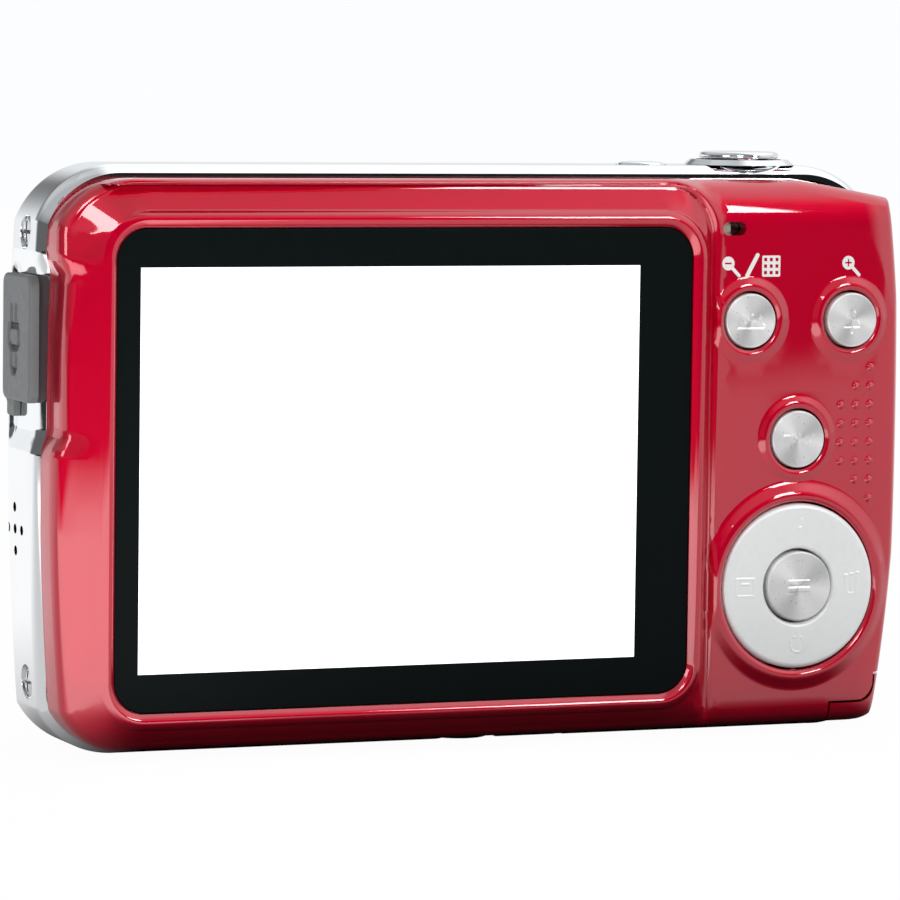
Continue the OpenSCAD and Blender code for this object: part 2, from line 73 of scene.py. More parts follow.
# ---------------------------------------------------------------- flat shapes
def inset(p, low, high, radius):
    """Distance inside a box with round corners; negative outside it."""
    middle = (np.array(low) + np.array(high)) / 2
    half = (np.array(high) - np.array(low)) / 2 - radius
    q = np.abs(p - middle) - half
    outside = np.hypot(*np.maximum(q, 0).T)
    return radius - outside - np.minimum(q.max(axis=1), 0)


def radius_from(p, point):
    return np.hypot(*(p - np.array(point)).T)


def stroke(p, start, end):
    """Distance from a straight stroke."""
    start, end = np.array(start, float), np.array(end, float)
    along = end - start
    t = np.clip(((p - start) @ along) / max(along @ along, 1e-9), 0, 1)
    return np.hypot(*(p - start - t[:, None] * along).T)


def path_distance(p, points):
    """Distance from a line through several points."""
    return np.min([stroke(p, a, b) for a, b in zip(points, points[1:])], axis=0)


def step(t):
    """Smooth rise from 0 to 1."""
    t = np.clip(t, 0, 1)
    return t * t * (3 - 2 * t)


def round_box(low, high, radius, spacing=1.0):
    """Closed outline of a box with round corners."""
    points = []
    turns = max(3, int(radius * 4) + 2)
    corners = [(high[0], high[1], 0), (low[0], high[1], 90), (low[0], low[1], 180), (high[0], low[1], 270)]
    for x, y, start in corners:
        cx = x - radius if x == high[0] else x + radius
        cy = y - radius if y == high[1] else y + radius
        for i in range(turns + 1):
            a = math.radians(start + 90 * i / turns)
            points.append((cx + radius * math.cos(a), cy + radius * math.sin(a)))
    return spaced(points, spacing)


def spaced(points, spacing):
    """A closed outline with no gap longer than the spacing."""
    out = []
    for a, b in zip(points, points[1:] + points[:1]):
        n = max(1, math.ceil(math.dist(a, b) / spacing))
        out += [(a[0] + (b[0] - a[0]) * i / n, a[1] + (b[1] - a[1]) * i / n) for i in range(n)]
    return out


def circle(point, radius, count=48):
    turns = [2 * math.pi * i / count for i in range(count)]
    return [(point[0] + radius * math.cos(a), point[1] + radius * math.sin(a)) for a in turns]


def slot_outline(point, length, width, angle=0, count=10):
    """Closed outline of a slot with round ends."""
    points = []
    reach = (length - width) / 2
    ca, sa = math.cos(math.radians(angle)), math.sin(math.radians(angle))
    for end in (1, -1):
        for i in range(count + 1):
            a = math.pi * (i / count - 0.5) + (0 if end == 1 else math.pi)
            u = end * reach + width / 2 * math.cos(a)
            v = width / 2 * math.sin(a)
            points.append((point[0] + u * ca - v * sa, point[1] + u * sa + v * ca))
    return points


def thinned(coarse, fine_boxes):
    """Coarse grid points outside the boxes, with fine grid points inside them."""
    for low, high, spacing in fine_boxes:
        coarse = coarse[np.any((coarse < low - 0.1) | (coarse > high + 0.1), axis=1)]
        coarse = np.vstack([coarse, grid(low, high, spacing)])
    return coarse


def grid(low, high, spacing):
    """Points of a slightly staggered grid."""
    rows = []
    for j, v in enumerate(np.arange(low[1], high[1] + 1e-9, spacing * 0.87)):
        u = np.arange(low[0] + spacing / 2 * (j % 2), high[0] + 1e-9, spacing)
        rows.append(np.column_stack([u, np.full(len(u), v)]))
    return np.vstack(rows)


# ---------------------------------------------------------------- mesh making
def new_object(name, points, faces):
    mesh = bpy.data.meshes.new(name)
    mesh.from_pydata([tuple(v) for v in np.array(points) * MM], [], faces)
    mesh.validate()
    obj = bpy.data.objects.new(name, mesh)
    bpy.context.scene.collection.objects.link(obj)
    return obj


def relief(name, axes, loops, height, floor, points=None, clearance=0.35):
    """A closed plate seen along one axis: its face follows height(), its back lies at the level that
    floor() gives each triangle, and where floor() gives nan the plate is open."""
    corners, edges = [], []
    for loop in loops:
        first = len(corners)
        corners += loop
        edges += [(first + i, first + (i + 1) % len(loop)) for i in range(len(loop))]
    if points is not None:
        near = np.array(corners)
        keep = [c for c in points if np.min(np.hypot(*(near - c).T)) > clearance]
        corners += [tuple(c) for c in keep]
    made = delaunay_2d_cdt([Vector(c) for c in corners], edges, [], 0, 1e-5, False)
    flat = np.array([tuple(v) for v in made[0]])
    tris = np.array([tuple(t) for t in made[2]])
    a, b, c = flat[tris[:, 0]], flat[tris[:, 1]], flat[tris[:, 2]]
    area = (b[:, 0] - a[:, 0]) * (c[:, 1] - a[:, 1]) - (c[:, 0] - a[:, 0]) * (b[:, 1] - a[:, 1])
    tris[area < 0] = tris[area < 0][:, ::-1]
    level = floor((a + b + c) / 3)
    keep = ~np.isnan(level) & (np.abs(area) > 1e-7)
    tris, level = tris[keep], level[keep]

    out, faces, index = [], [], {}

    def vertex(i, depth):
        key = (i, depth)
        if key not in index:
            w = tops[i] if depth is None else depth
            index[key] = len(out)
            out.append(flat[i][0] * axes[0] + flat[i][1] * axes[1] + w * axes[2])
        return index[key]

    tops = height(flat)
    beside = {}
    for t, lev in zip(tris, level):
        for i in range(3):
            beside[(t[i], t[(i + 1) % 3])] = lev
        faces.append([vertex(i, None) for i in t])
    face_count = len(faces)
    for t, lev in zip(tris, level):
        faces.append([vertex(i, lev) for i in t[::-1]])
    for (i, j), lev in beside.items():
        other = beside.get((j, i))
        if other is None:
            faces.append([vertex(i, None), vertex(i, lev), vertex(j, lev), vertex(j, None)])
        elif other > lev:
            faces.append([vertex(i, other), vertex(i, lev), vertex(j, lev), vertex(j, other)])
    obj = new_object(name, out, faces)

    # The face is shaded with the slope of the height itself, so its highlights run smoothly.
    h = 0.02
    slope_u = (height(flat + (h, 0)) - height(flat - (h, 0))) / (2 * h)
    slope_v = (height(flat + (0, h)) - height(flat - (0, h))) / (2 * h)
    smooth = axes[2] - slope_u[:, None] * axes[0] - slope_v[:, None] * axes[1]
    smooth /= np.linalg.norm(smooth, axis=1)[:, None]
    mesh = obj.data
    mesh.shade_smooth()
    mesh.set_sharp_from_angle(angle=math.radians(35))
    normals = np.zeros(len(mesh.loops) * 3)
    mesh.corner_normals.foreach_get("vector", normals)
    normals = normals.reshape(-1, 3)
    normals[: face_count * 3] = smooth[tris.ravel()]
    mesh.normals_split_custom_set([tuple(n) for n in normals])
    return obj


def lathe(name, axes, middle, profile, segments=96, sharp=40):
    """A solid turned about an axis out of the face, from points of radius and height."""
    out, faces = [], []
    rings = []
    for r, w in profile:
        if r < 1e-6:
            rings.append([len(out)] * segments)
            out.append(middle[0] * axes[0] + middle[1] * axes[1] + w * axes[2])
            continue
        rings.append(list(range(len(out), len(out) + segments)))
        for i in range(segments):
            a = 2 * math.pi * i / segments
            u, v = middle[0] + r * math.cos(a), middle[1] + r * math.sin(a)
            out.append(u * axes[0] + v * axes[1] + w * axes[2])
    for low, high in zip(rings, rings[1:]):
        for i in range(segments):
            j = (i + 1) % segments
            corners = [low[i], low[j], high[j], high[i]]
            faces.append(list(dict.fromkeys(corners)))
    obj = new_object(name, out, faces)
    obj.data.shade_smooth()
    obj.data.set_sharp_from_angle(angle=math.radians(sharp))
    return obj


def block(low, high):
    """A plain box to cut with."""
    points = [(x, y, z) for x in (low[0], high[0]) for y in (low[1], high[1]) for z in (low[2], high[2])]
    faces = [(0, 1, 3, 2), (4, 6, 7, 5), (0, 4, 5, 1), (2, 3, 7, 6), (0, 2, 6, 4), (1, 5, 7, 3)]
    return new_object("cutter", points, faces)


def rod(axes, middle, radius, start, end):
    """A plain rod to cut with."""
    return lathe("cutter", axes, middle, [(0, start), (radius, start), (radius, end), (0, end)], 40)


def cut(obj, cutters):
    """Takes the cutters out of a piece and removes them."""
    for cutter in cutters:
        modifier = obj.modifiers.new("cut", "BOOLEAN")
        modifier.object = cutter
        modifier.operation = "DIFFERENCE"
        modifier.solver = "EXACT"
    whole = obj.evaluated_get(bpy.context.evaluated_depsgraph_get())
    mesh = bpy.data.meshes.new_from_object(whole)
    obj.modifiers.clear()
    obj.data = mesh
    for cutter in cutters:
        bpy.data.objects.remove(cutter)


# ---------------------------------------------------------------- materials
def nodes_of(name):
    mat = bpy.data.materials.new(name)
    mat.use_nodes = True
    tree = mat.node_tree
    return mat, tree, tree.nodes["Principled BSDF"]


def noise(tree, scale, detail=4, stretch=(1, 1, 1)):
    """Noise over the object, its scale in waves a millimetre."""
    where = tree.nodes.new("ShaderNodeTexCoord")
    spread = tree.nodes.new("ShaderNodeMapping")
    spread.inputs["Scale"].default_value = stretch
    tex = tree.nodes.new("ShaderNodeTexNoise")
    tex.inputs["Scale"].default_value = scale / MM
    tex.inputs["Detail"].default_value = detail
    tree.links.new(where.outputs["Object"], spread.inputs["Vector"])
    tree.links.new(spread.outputs["Vector"], tex.inputs["Vector"])
    return tex.outputs["Fac"]


def spread_values(tree, source, low, high):
    node = tree.nodes.new("ShaderNodeMapRange")
    node.inputs["From Min"].default_value = 0.3
    node.inputs["From Max"].default_value = 0.7
    node.inputs["To Min"].default_value = low
    node.inputs["To Max"].default_value = high
    tree.links.new(source, node.inputs["Value"])
    return node.outputs["Result"]


def fade(tree, source, low, high, start, end):
    """A value that runs smoothly from start to end as the source goes from low to high."""
    node = tree.nodes.new("ShaderNodeMapRange")
    node.interpolation_type = "SMOOTHSTEP"
    node.inputs["From Min"].default_value = low
    node.inputs["From Max"].default_value = high
    node.inputs["To Min"].default_value = start
    node.inputs["To Max"].default_value = end
    tree.links.new(source, node.inputs["Value"])
    return node.outputs["Result"]


def maths(tree, operation, a, b):
    node = tree.nodes.new("ShaderNodeMath")
    node.operation = operation
    for socket, value in zip(node.inputs, (a, b)):
        if isinstance(value, (int, float)):
            socket.default_value = value
        else:
            tree.links.new(value, socket)
    return node.outputs[0]


def bump(tree, shader, source, height, socket="Normal"):
    node = tree.nodes.new("ShaderNodeBump")
    node.inputs["Strength"].default_value = 1
    node.inputs["Distance"].default_value = height * MM
    tree.links.new(source, node.inputs["Height"])
    tree.links.new(node.outputs["Normal"], shader.inputs[socket])


def tint(tree, shader, source, color, change):
    """Colour that varies a little with the source."""
    mix = tree.nodes.new("ShaderNodeMix")
    mix.data_type = "RGBA"
    dark = [c * (1 - change) for c in color]
    light = [min(1, c * (1 + change)) for c in color]
    mix.inputs[6].default_value = (*dark, 1)
    mix.inputs[7].default_value = (*light, 1)
    tree.links.new(source, mix.inputs[0])
    tree.links.new(mix.outputs[2], shader.inputs["Base Color"])


def surface(name, color, metallic=0.0, rough=(0.3, 0.4), scale=1.0, change=0.06, grain=0.002,
            stretch=(1, 1, 1), **sockets):
    """A material whose colour, gloss and fine relief all vary with noise."""
    mat, tree, shader = nodes_of(name)
    tint(tree, shader, noise(tree, scale * 0.3, 3, stretch), color, change)
    shader.inputs["Metallic"].default_value = metallic
    values = spread_values(tree, noise(tree, scale, 5, stretch), *rough)
    tree.links.new(values, shader.inputs["Roughness"])
    if grain:
        bump(tree, shader, noise(tree, scale * 4, 2, stretch), grain)
    for socket, value in sockets.items():
        shader.inputs[socket.replace("_", " ")].default_value = value
    return mat


def red_paint():
    """Candy red over fine metal flake under a clear coat, with a slow orange-peel wave."""
    mat, tree, shader = nodes_of("red_paint")
    tint(tree, shader, noise(tree, 9, 1), (0.6, 0.0, 0.026), 0.06)
    shader.inputs["Metallic"].default_value = 0.75
    shader.inputs["Specular IOR Level"].default_value = 0.0
    values = spread_values(tree, noise(tree, 0.5, 4), 0.44, 0.5)
    tree.links.new(values, shader.inputs["Roughness"])
    shader.inputs["Coat Weight"].default_value = 1
    shader.inputs["Coat IOR"].default_value = 1.85
    shader.inputs["Coat Roughness"].default_value = 0.03
    bump(tree, shader, noise(tree, 0.16, 1), 0.004, "Coat Normal")
    return mat


def chrome(name, color=(0.86, 0.88, 0.9), rough=(0.03, 0.08)):
    return surface(name, color, 1.0, rough, 0.6, 0.03, 0.0004)


def turned_face_painted_highlights(name, color, rough, depth):
    """Metal faced on a lathe, with painted highlights: light and dark sectors of colour, standing in for the spun
    face's reflections, turn about the button's own middle.
    """
    mat, tree, shader = nodes_of(name)
    where = tree.nodes.new("ShaderNodeTexCoord")
    turn = tree.nodes.new("ShaderNodeMapping")
    turn.inputs["Location"].default_value = (-0.5, 0.5, 0)
    turn.inputs["Rotation"].default_value = (math.pi / 2, 0, 0)
    tree.links.new(where.outputs["Generated"], turn.inputs["Vector"])
    split = tree.nodes.new("ShaderNodeSeparateXYZ")
    tree.links.new(turn.outputs["Vector"], split.inputs["Vector"])
    # Painted highlights: the base colour is lightened and darkened in sectors by angle round the middle, where the spun
    # face's reflections would fall.
    angle = maths(tree, "ARCTAN2", split.outputs["Y"], split.outputs["X"])
    wide = maths(tree, "SINE", maths(tree, "MULTIPLY", angle, 2.0), 0)
    fine = maths(tree, "SINE", maths(tree, "ADD", maths(tree, "MULTIPLY", angle, 5.0), 1.0), 0)
    painted_highlight_wedges = maths(tree, "ADD", maths(tree, "MULTIPLY", wide, 0.3), maths(tree, "MULTIPLY", fine, 0.14))
    tint(tree, shader, maths(tree, "ADD", painted_highlight_wedges, 0.55), color, depth)
    shader.inputs["Metallic"].default_value = 0.45
    shader.inputs["Anisotropic"].default_value = 0.6
    tangent = tree.nodes.new("ShaderNodeTangent")
    tangent.direction_type = "RADIAL"
    tangent.axis = "Y"
    tree.links.new(tangent.outputs["Tangent"], shader.inputs["Tangent"])
    values = spread_values(tree, noise(tree, 2.0, 3), rough - 0.03, rough + 0.03)
    tree.links.new(values, shader.inputs["Roughness"])
    return mat


def lamp_pipe():
    """A light pipe behind a slot: pale at its left half, and near-black beside it as painted shade in the slot's deeper
    half.
    """
    mat, tree, shader = nodes_of("lamp_pipe")
    where = tree.nodes.new("ShaderNodeTexCoord")
    split = tree.nodes.new("ShaderNodeSeparateXYZ")
    tree.links.new(where.outputs["Object"], split.inputs["Vector"])
    # Painted shade: the deeper right half of the slot is coloured near-black.
    mix = tree.nodes.new("ShaderNodeMix")
    mix.data_type = "RGBA"
    lamp_x = centre("status_lamp")[0] * MM
    tree.links.new(fade(tree, split.outputs["X"], lamp_x - 0.0002, lamp_x + 0.0003, 0, 1), mix.inputs[0])
    mix.inputs[6].default_value = (0.5, 0.47, 0.36, 1)
    mix.inputs[7].default_value = (0.008, 0.008, 0.008, 1)
    tree.links.new(mix.outputs[2], shader.inputs["Base Color"])
    values = spread_values(tree, noise(tree, 3.0), 0.15, 0.3)
    tree.links.new(values, shader.inputs["Roughness"])
    return mat


def spun_metal(name, color, rough, strength):
    """Metal turned on a lathe: rings of fine cuts round the button's own centre."""
    mat, tree, shader = nodes_of(name)
    tint(tree, shader, noise(tree, 1.5, 3), color, 0.04)
    shader.inputs["Metallic"].default_value = 0.3
    shader.inputs["Anisotropic"].default_value = strength
    tangent = tree.nodes.new("ShaderNodeTangent")
    tangent.direction_type = "RADIAL"
    tangent.axis = "Y"
    tree.links.new(tangent.outputs["Tangent"], shader.inputs["Tangent"])
    values = spread_values(tree, noise(tree, 2.0, 3), rough - 0.04, rough + 0.04)
    tree.links.new(values, shader.inputs["Roughness"])
    return mat


def board_green():
    """Solder mask with pale copper tracks showing through."""
    mat, tree, shader = nodes_of("board_green")
    where = tree.nodes.new("ShaderNodeTexCoord")
    brick = tree.nodes.new("ShaderNodeTexBrick")
    brick.inputs["Scale"].default_value = 0.25 / MM
    brick.inputs["Color1"].default_value = (0.01, 0.16, 0.06, 1)
    brick.inputs["Color2"].default_value = (0.015, 0.2, 0.08, 1)
    brick.inputs["Mortar"].default_value = (0.05, 0.33, 0.14, 1)
    brick.inputs["Mortar Size"].default_value = 0.03
    turn = tree.nodes.new("ShaderNodeMapping")
    turn.inputs["Rotation"].default_value = (math.pi / 2, 0, 0)
    tree.links.new(where.outputs["Object"], turn.inputs["Vector"])
    tree.links.new(turn.outputs["Vector"], brick.inputs["Vector"])
    tree.links.new(brick.outputs["Color"], shader.inputs["Base Color"])
    bump(tree, shader, brick.outputs["Fac"], 0.03)
    values = spread_values(tree, noise(tree, 0.8), 0.25, 0.4)
    tree.links.new(values, shader.inputs["Roughness"])
    return mat


def clear(name, color, rough=0.02, ior=1.5):
    """Clear glass or plastic with a little dust in its gloss."""
    mat, tree, shader = nodes_of(name)
    tint(tree, shader, noise(tree, 0.4), color, 0.02)
    shader.inputs["Transmission Weight"].default_value = 1.0
    shader.inputs["IOR"].default_value = ior
    values = spread_values(tree, noise(tree, 1.2), rough, rough * 2)
    tree.links.new(values, shader.inputs["Roughness"])
    return mat


def lit_screen():
    """A bright panel: white light through a fine pixel pattern too small to see."""
    mat, tree, shader = nodes_of("lit_panel")
    shader.inputs["Base Color"].default_value = (0.8, 0.8, 0.8, 1)
    shader.inputs["Emission Color"].default_value = (1, 1, 1, 1)
    values = spread_values(tree, noise(tree, 3.0), 1.15, 1.25)
    tree.links.new(values, shader.inputs["Emission Strength"])
    return mat


MATERIALS = {
    "red_paint": red_paint(),
    "chrome_frame": chrome("chrome_frame", (0.9, 0.92, 0.94)),
    "chrome_top": chrome("chrome_top"),
    "lens_chrome": chrome("lens_chrome"),
    "reflector": chrome("reflector", (0.9, 0.9, 0.92), (0.02, 0.06)),
    "aluminium_plate": surface("aluminium_plate", (0.7, 0.71, 0.73), 1.0, (0.3, 0.42), 1.0, stretch=(1, 1, 8)),
    "screw_steel": surface("screw_steel", (0.72, 0.72, 0.74), 1.0, (0.12, 0.22), 3.0),
    "socket_steel": surface("socket_steel", (0.68, 0.68, 0.69), 1.0, (0.2, 0.32), 2.0),
    "lug_steel": surface("lug_steel", (0.7, 0.7, 0.71), 1.0, (0.15, 0.28), 2.0),
    "pin_steel": surface("pin_steel", (0.7, 0.7, 0.71), 1.0, (0.2, 0.3), 2.0),
    "pivot_steel": surface("pivot_steel", (0.66, 0.66, 0.67), 1.0, (0.25, 0.35), 2.0),
    "spring_steel": surface("spring_steel", (0.68, 0.68, 0.7), 1.0, (0.2, 0.3), 4.0),
    "socket_shell": surface("socket_shell", (0.72, 0.72, 0.74), 1.0, (0.18, 0.3), 1.5),
    "mic_metal": surface("mic_metal", (0.7, 0.7, 0.72), 1.0, (0.25, 0.35), 2.0),
    "dome_film": surface("dome_film", (0.66, 0.66, 0.6), 1.0, (0.3, 0.45), 1.5),
    "contact_gold": surface("contact_gold", (0.85, 0.65, 0.28), 1.0, (0.15, 0.28), 2.0),
    "screen_glass": clear("screen_glass", (1, 1, 1), 0.004, 1.45),
    "lit_panel": lit_screen(),
    "backlight_tray": surface("backlight_tray", (0.8, 0.8, 0.81), 0, (0.4, 0.5), 1.0),
    "flex": surface("flex", (0.6, 0.3, 0.06), 0, (0.35, 0.5), 1.0, 0.12),
    "lamp_clear": clear("lamp_clear", (0.93, 0.92, 0.82), 0.08, 1.49),
    "button_metal": turned_face_painted_highlights("button_metal", (0.8, 0.8, 0.81), 0.3, 0.3),
    "pad_metal": spun_metal("pad_metal", (0.94, 0.95, 0.95), 0.4, 0.2),
    "key_rubber": surface("key_rubber", (0.12, 0.12, 0.13), 0, (0.6, 0.75), 2.0, 0.1, 0.006),
    "board_green": board_green(),
    "switch_black": surface("switch_black", (0.03, 0.03, 0.035), 0, (0.4, 0.5), 2.0, 0.1),
    "lens_black": surface("lens_black", (0.012, 0.012, 0.014), 0, (0.35, 0.5), 1.5, 0.15, 0.006),
    "lens_glass": clear("lens_glass", (0.86, 0.9, 1.0), 0.003, 1.6),
    "holder_black": surface("holder_black", (0.015, 0.015, 0.017), 0, (0.45, 0.6), 1.5, 0.15, 0.006),
    "sensor_dark": surface("sensor_dark", (0.05, 0.03, 0.09), 0.3, (0.08, 0.16), 2.0, 0.3),
    "chip_black": surface("chip_black", (0.02, 0.02, 0.022), 0, (0.45, 0.55), 3.0, 0.15, 0.004),
    "flash_clear": clear("flash_clear", (0.97, 0.98, 1.0), 0.05, 1.49),
    "tube_glass": clear("tube_glass", (0.95, 0.95, 1.0), 0.01, 1.47),
    "capacitor_sleeve": surface("capacitor_sleeve", (0.02, 0.02, 0.03), 0, (0.2, 0.3), 1.0, 0.15),
    "timer_amber": clear("timer_amber", (0.95, 0.35, 0.08), 0.04, 1.49),
    "speaker_black": surface("speaker_black", (0.03, 0.03, 0.035), 0, (0.55, 0.7), 4.0, 0.2, 0.02),
    "flap_rubber": surface("flap_rubber", (0.14, 0.15, 0.152), 0, (0.42, 0.52), 1.2, 0.05, 0.004),
    "holder_grey": surface("holder_grey", (0.05, 0.05, 0.055), 0, (0.5, 0.65), 1.5, 0.12, 0.006),
    "battery_sleeve": surface("battery_sleeve", (0.07, 0.08, 0.1), 0, (0.3, 0.42), 0.8, 0.1, 0.003),
    "latch_orange": surface("latch_orange", (0.85, 0.22, 0.02), 0, (0.3, 0.4), 1.5, 0.06),
    "card_blue": surface("card_blue", (0.03, 0.05, 0.12), 0, (0.4, 0.5), 1.0, 0.1, 0.004),
}

slot_of = {s["node"]: s["material_slot"] for s in frame["record"]["subparts"]}
for node_name, node_object in frame["nodes"].items():
    node_object.data.materials.clear()
    node_object.data.materials.append(MATERIALS[slot_of[node_name]])


def finish_piece(obj, slot, body, *replaced, material=None):
    """Gives a piece its material, the body it rides on and the CAD nodes it stands for."""
    obj.data.materials.append(material or MATERIALS[slot])
    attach(obj, body)
    if replaced:
        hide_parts(*replaced)
    return obj


# ---------------------------------------------------------------- rear cover
COVER_LOW, COVER_HIGH = box("rear_cover")
FRAME_LOW, FRAME_HIGH = box("side_frame")
WINDOW_LOW, WINDOW_HIGH = box("lcd_window")
FLAP_LOW, FLAP_HIGH = box("usb_flap")
WINDOW = (WINDOW_LOW[[0, 2]], WINDOW_HIGH[[0, 2]], 3.2)
COVER = (COVER_LOW[[0, 2]], COVER_HIGH[[0, 2]], 8.0)
SEAM = -COVER_HIGH[1]
INNER = 7.2
WALL = 1.4
FAR = 30.0
BOW_R = 180.0
BOW_CENTRE = (COVER_HIGH[0] - BOW_R, 32.0)
LEFT_BOW_R = 330.0
LEFT_BOW_CENTRE = (COVER_LOW[0] - 0.1 + LEFT_BOW_R, 31.0)
# The top edge falls from this point towards the right-hand corner
SLANT_START, SLANT_FALL = (35.0, COVER_HIGH[2]), 2.0 / 11.0
LIP_D = 1.65
HOUSING_X = WINDOW_HIGH[0] + 2.5
HOUSING = (COVER_LOW[[0, 2]] - 3, (HOUSING_X, COVER_HIGH[2] - 0.5), 5.5)
GAP = 0.25

ZOOM_OUT = centre("zoom_out_button")[[0, 2]]
ZOOM_IN = centre("zoom_in_button")[[0, 2]]
MODE = centre("mode_button")[[0, 2]]
PAD = centre("four_way_pad")[[0, 2]]
LAMP = centre("status_lamp")[[0, 2]]
ZOOM_R, MODE_R, PAD_R, MENU_R = 2.85, 3.0, 8.65, 3.65
# Middle of each ring, radius of its hole, its crest and its foot, and its height
RINGS = [
    (ZOOM_OUT, ZOOM_R + GAP, 3.55, 4.7, 0.42),
    (ZOOM_IN, ZOOM_R + GAP, 3.55, 4.7, 0.42),
    (MODE, MODE_R + GAP, 3.7, 4.7, 0.32),
    (PAD, PAD_R + GAP, 9.45, 11.2, 0.62),
]
DOT_PITCH = 1.97
DOT_COLUMNS = [(43.2, 8), (41.5, 6), (39.75, 4)]
DOT_R = 0.52
DOTS = [(x, 31.35 + (i - (n - 1) / 2) * DOT_PITCH) for x, n in DOT_COLUMNS for i in range(n)]
# The door's corner piece: left edge, low top, step, high top, and the round inner corner
DOOR_X, DOOR_LOW_Z, DOOR_STEP_X, DOOR_HIGH_Z, DOOR_ROUND = 39.2, 2.85, 44.6, 5.7, 2.0
BITE_Z = (31.6, 49.4)
BITE_DEPTH = 1.0


def bite(z):
    """How far the left edge bends inwards beside the flap."""
    return BITE_DEPTH * step((z - BITE_Z[0] + 1.2) / 2.4) * step((BITE_Z[1] + 1.2 - z) / 2.4)


def bow_inset(p):
    return BOW_R - radius_from(p, BOW_CENTRE)


def cover_inset(p):
    """Distance inside the rear cover's outline: bowed sides, a falling top right and unlike corners."""
    low, high, radius = COVER
    left_corners = inset(p, low, high + (FAR, 0), radius)
    low_corner = inset(p, low - (FAR, 0), high + (0, FAR), 5.0)
    high_corner = inset(p, low - (FAR, FAR), high - (0.5, 0), 2.5)
    fall = (SLANT_START[1] - p[:, 1] - SLANT_FALL * (p[:, 0] - SLANT_START[0])) / math.hypot(1, SLANT_FALL)
    left_bow = LEFT_BOW_R - radius_from(p, LEFT_BOW_CENTRE)
    s = np.min([left_corners, low_corner, high_corner, fall, bow_inset(p), left_bow], axis=0)
    return s - bite(p[:, 1]) * np.clip((low[0] + 5 - p[:, 0]) / 3, 0, 1)


def outline_of(distance, low, high, s, spacing=1.0):
    """Outline at a distance inside a shape's edge, found along rays from its middle."""
    middle = (low + high) / 2
    rays = np.array(round_box(low, high, 4.0, spacing)) - middle
    near, reach = np.full(len(rays), 0.5), np.full(len(rays), 1.1)
    for _ in range(30):
        half = (near + reach) / 2
        inside = distance(middle + rays * half[:, None]) > s
        near, reach = np.where(inside, half, near), np.where(inside, reach, half)
    return [tuple(point) for point in middle + rays * near[:, None]]


def cover_loop(s):
    return outline_of(cover_inset, COVER[0], COVER[1], s)


def rounded(s, width, drop):
    """Drop of a rounded edge at a distance inside it."""
    t = np.clip(1 - s / width, 0, 1)
    return -drop * (1 - np.sqrt(1 - t * t))


def ring_height(r, hole, crest, foot, height):
    inner = height * (1 - 0.5 * np.clip((crest - r) / (crest - hole), 0, 2) ** 2)
    outer = height * 0.5 * (1 + np.cos(np.pi * np.clip((r - crest) / (foot - crest), 0, 1)))
    return np.where(r < crest, inner, outer)


def cover_rise(p):
    """How far the rear cover's face stands towards the viewer."""
    x, z = p[:, 0], p[:, 1]
    s = cover_inset(p)
    d = -inset(p, *WINDOW)
    h = inset(p, *HOUSING)
    left = step((WINDOW_LOW[0] + 3.5 - x) / 4.5)
    right = step((x - WINDOW_HIGH[0]) / 1.5)
    corner = step((WINDOW_LOW[0] + 4 - x) / 5) * step((z - 49) / 5)
    foot = 8.55 + 0.55 * left - 0.15 * right - 0.75 * corner
    crest = 9.42 + 0.42 * left
    e = np.maximum(np.minimum(h, s - 1.1), 0)
    out = np.maximum(d - LIP_D, 1e-6)
    band = foot + (crest - foot) * e / (e + out)
    bead = (d - 0.85) / 0.85
    lip = np.where(d < 0.85, 9.92 - crest - 0.55 * bead ** 2, (9.92 - crest) * np.maximum(0, 1 - bead ** 2))
    field = 8.78 - 0.032 * (x - HOUSING_X)
    t = -h
    ridge = 0.12 * np.exp(-(((t - 0.75) / 0.35) ** 2)) - 0.38 * (1 - step(t / 0.55))
    rise = np.where(h > 0, band + lip, field + ridge)
    for middle, hole, crest, ring_foot, height in RINGS:
        beside = np.clip(t / 0.8, 0, 1)
        rise += beside * ring_height(radius_from(p, middle), hole, crest, ring_foot, height)
    for dot in DOTS:
        rho = np.clip(radius_from(p, dot) / DOT_R, 0, 1)
        rise += 0.33 * (1 - rho * rho) ** 2
    rise += rounded(s, 1.2, 1.2) + rounded(bow_inset(p), 3.8, 1.1)
    rise += rounded(x - COVER_LOW[0] - bite(z), 2.4, 0.8)
    rise += rounded(COVER_HIGH[2] - z, 4.6, 2.4) * step(t / 2)
    rise += rounded(z - COVER_LOW[2], 2.6, 1.3)
    return np.clip(rise, SEAM + 0.3, -COVER_LOW[1] - 0.02)


def door_inset(p, gap):
    """Distance inside the door's corner piece as it shows on the rear face, grown by a gap."""
    low = np.minimum(p[:, 0] - DOOR_X + gap, DOOR_LOW_Z + gap - p[:, 1])
    high = np.minimum(p[:, 0] - DOOR_STEP_X + gap, DOOR_HIGH_Z + gap - p[:, 1])
    middle = np.array([DOOR_STEP_X - gap - DOOR_ROUND, DOOR_LOW_Z + gap + DOOR_ROUND])
    notch = np.minimum(p[:, 0] - middle[0], middle[1] - p[:, 1])
    fillet = np.minimum(notch, radius_from(p, middle) - DOOR_ROUND)
    return np.maximum(np.maximum(low, high), fillet)


def door_loop(gap):
    """Closed outline of the door's corner piece, carried past the cover's edge."""
    x0, x1 = DOOR_X - gap, DOOR_STEP_X - gap
    z0, z1 = DOOR_LOW_Z + gap, DOOR_HIGH_Z + gap
    turn = [math.radians(270 + 15 * i) for i in range(7)]
    fillet = [(x1 - DOOR_ROUND + DOOR_ROUND * math.cos(a), z0 + DOOR_ROUND + DOOR_ROUND * math.sin(a)) for a in turn]
    return spaced([(x0, -1), (x0, z0)] + fillet + [(x1, z1), (49, z1), (49, -1)], 1.0)


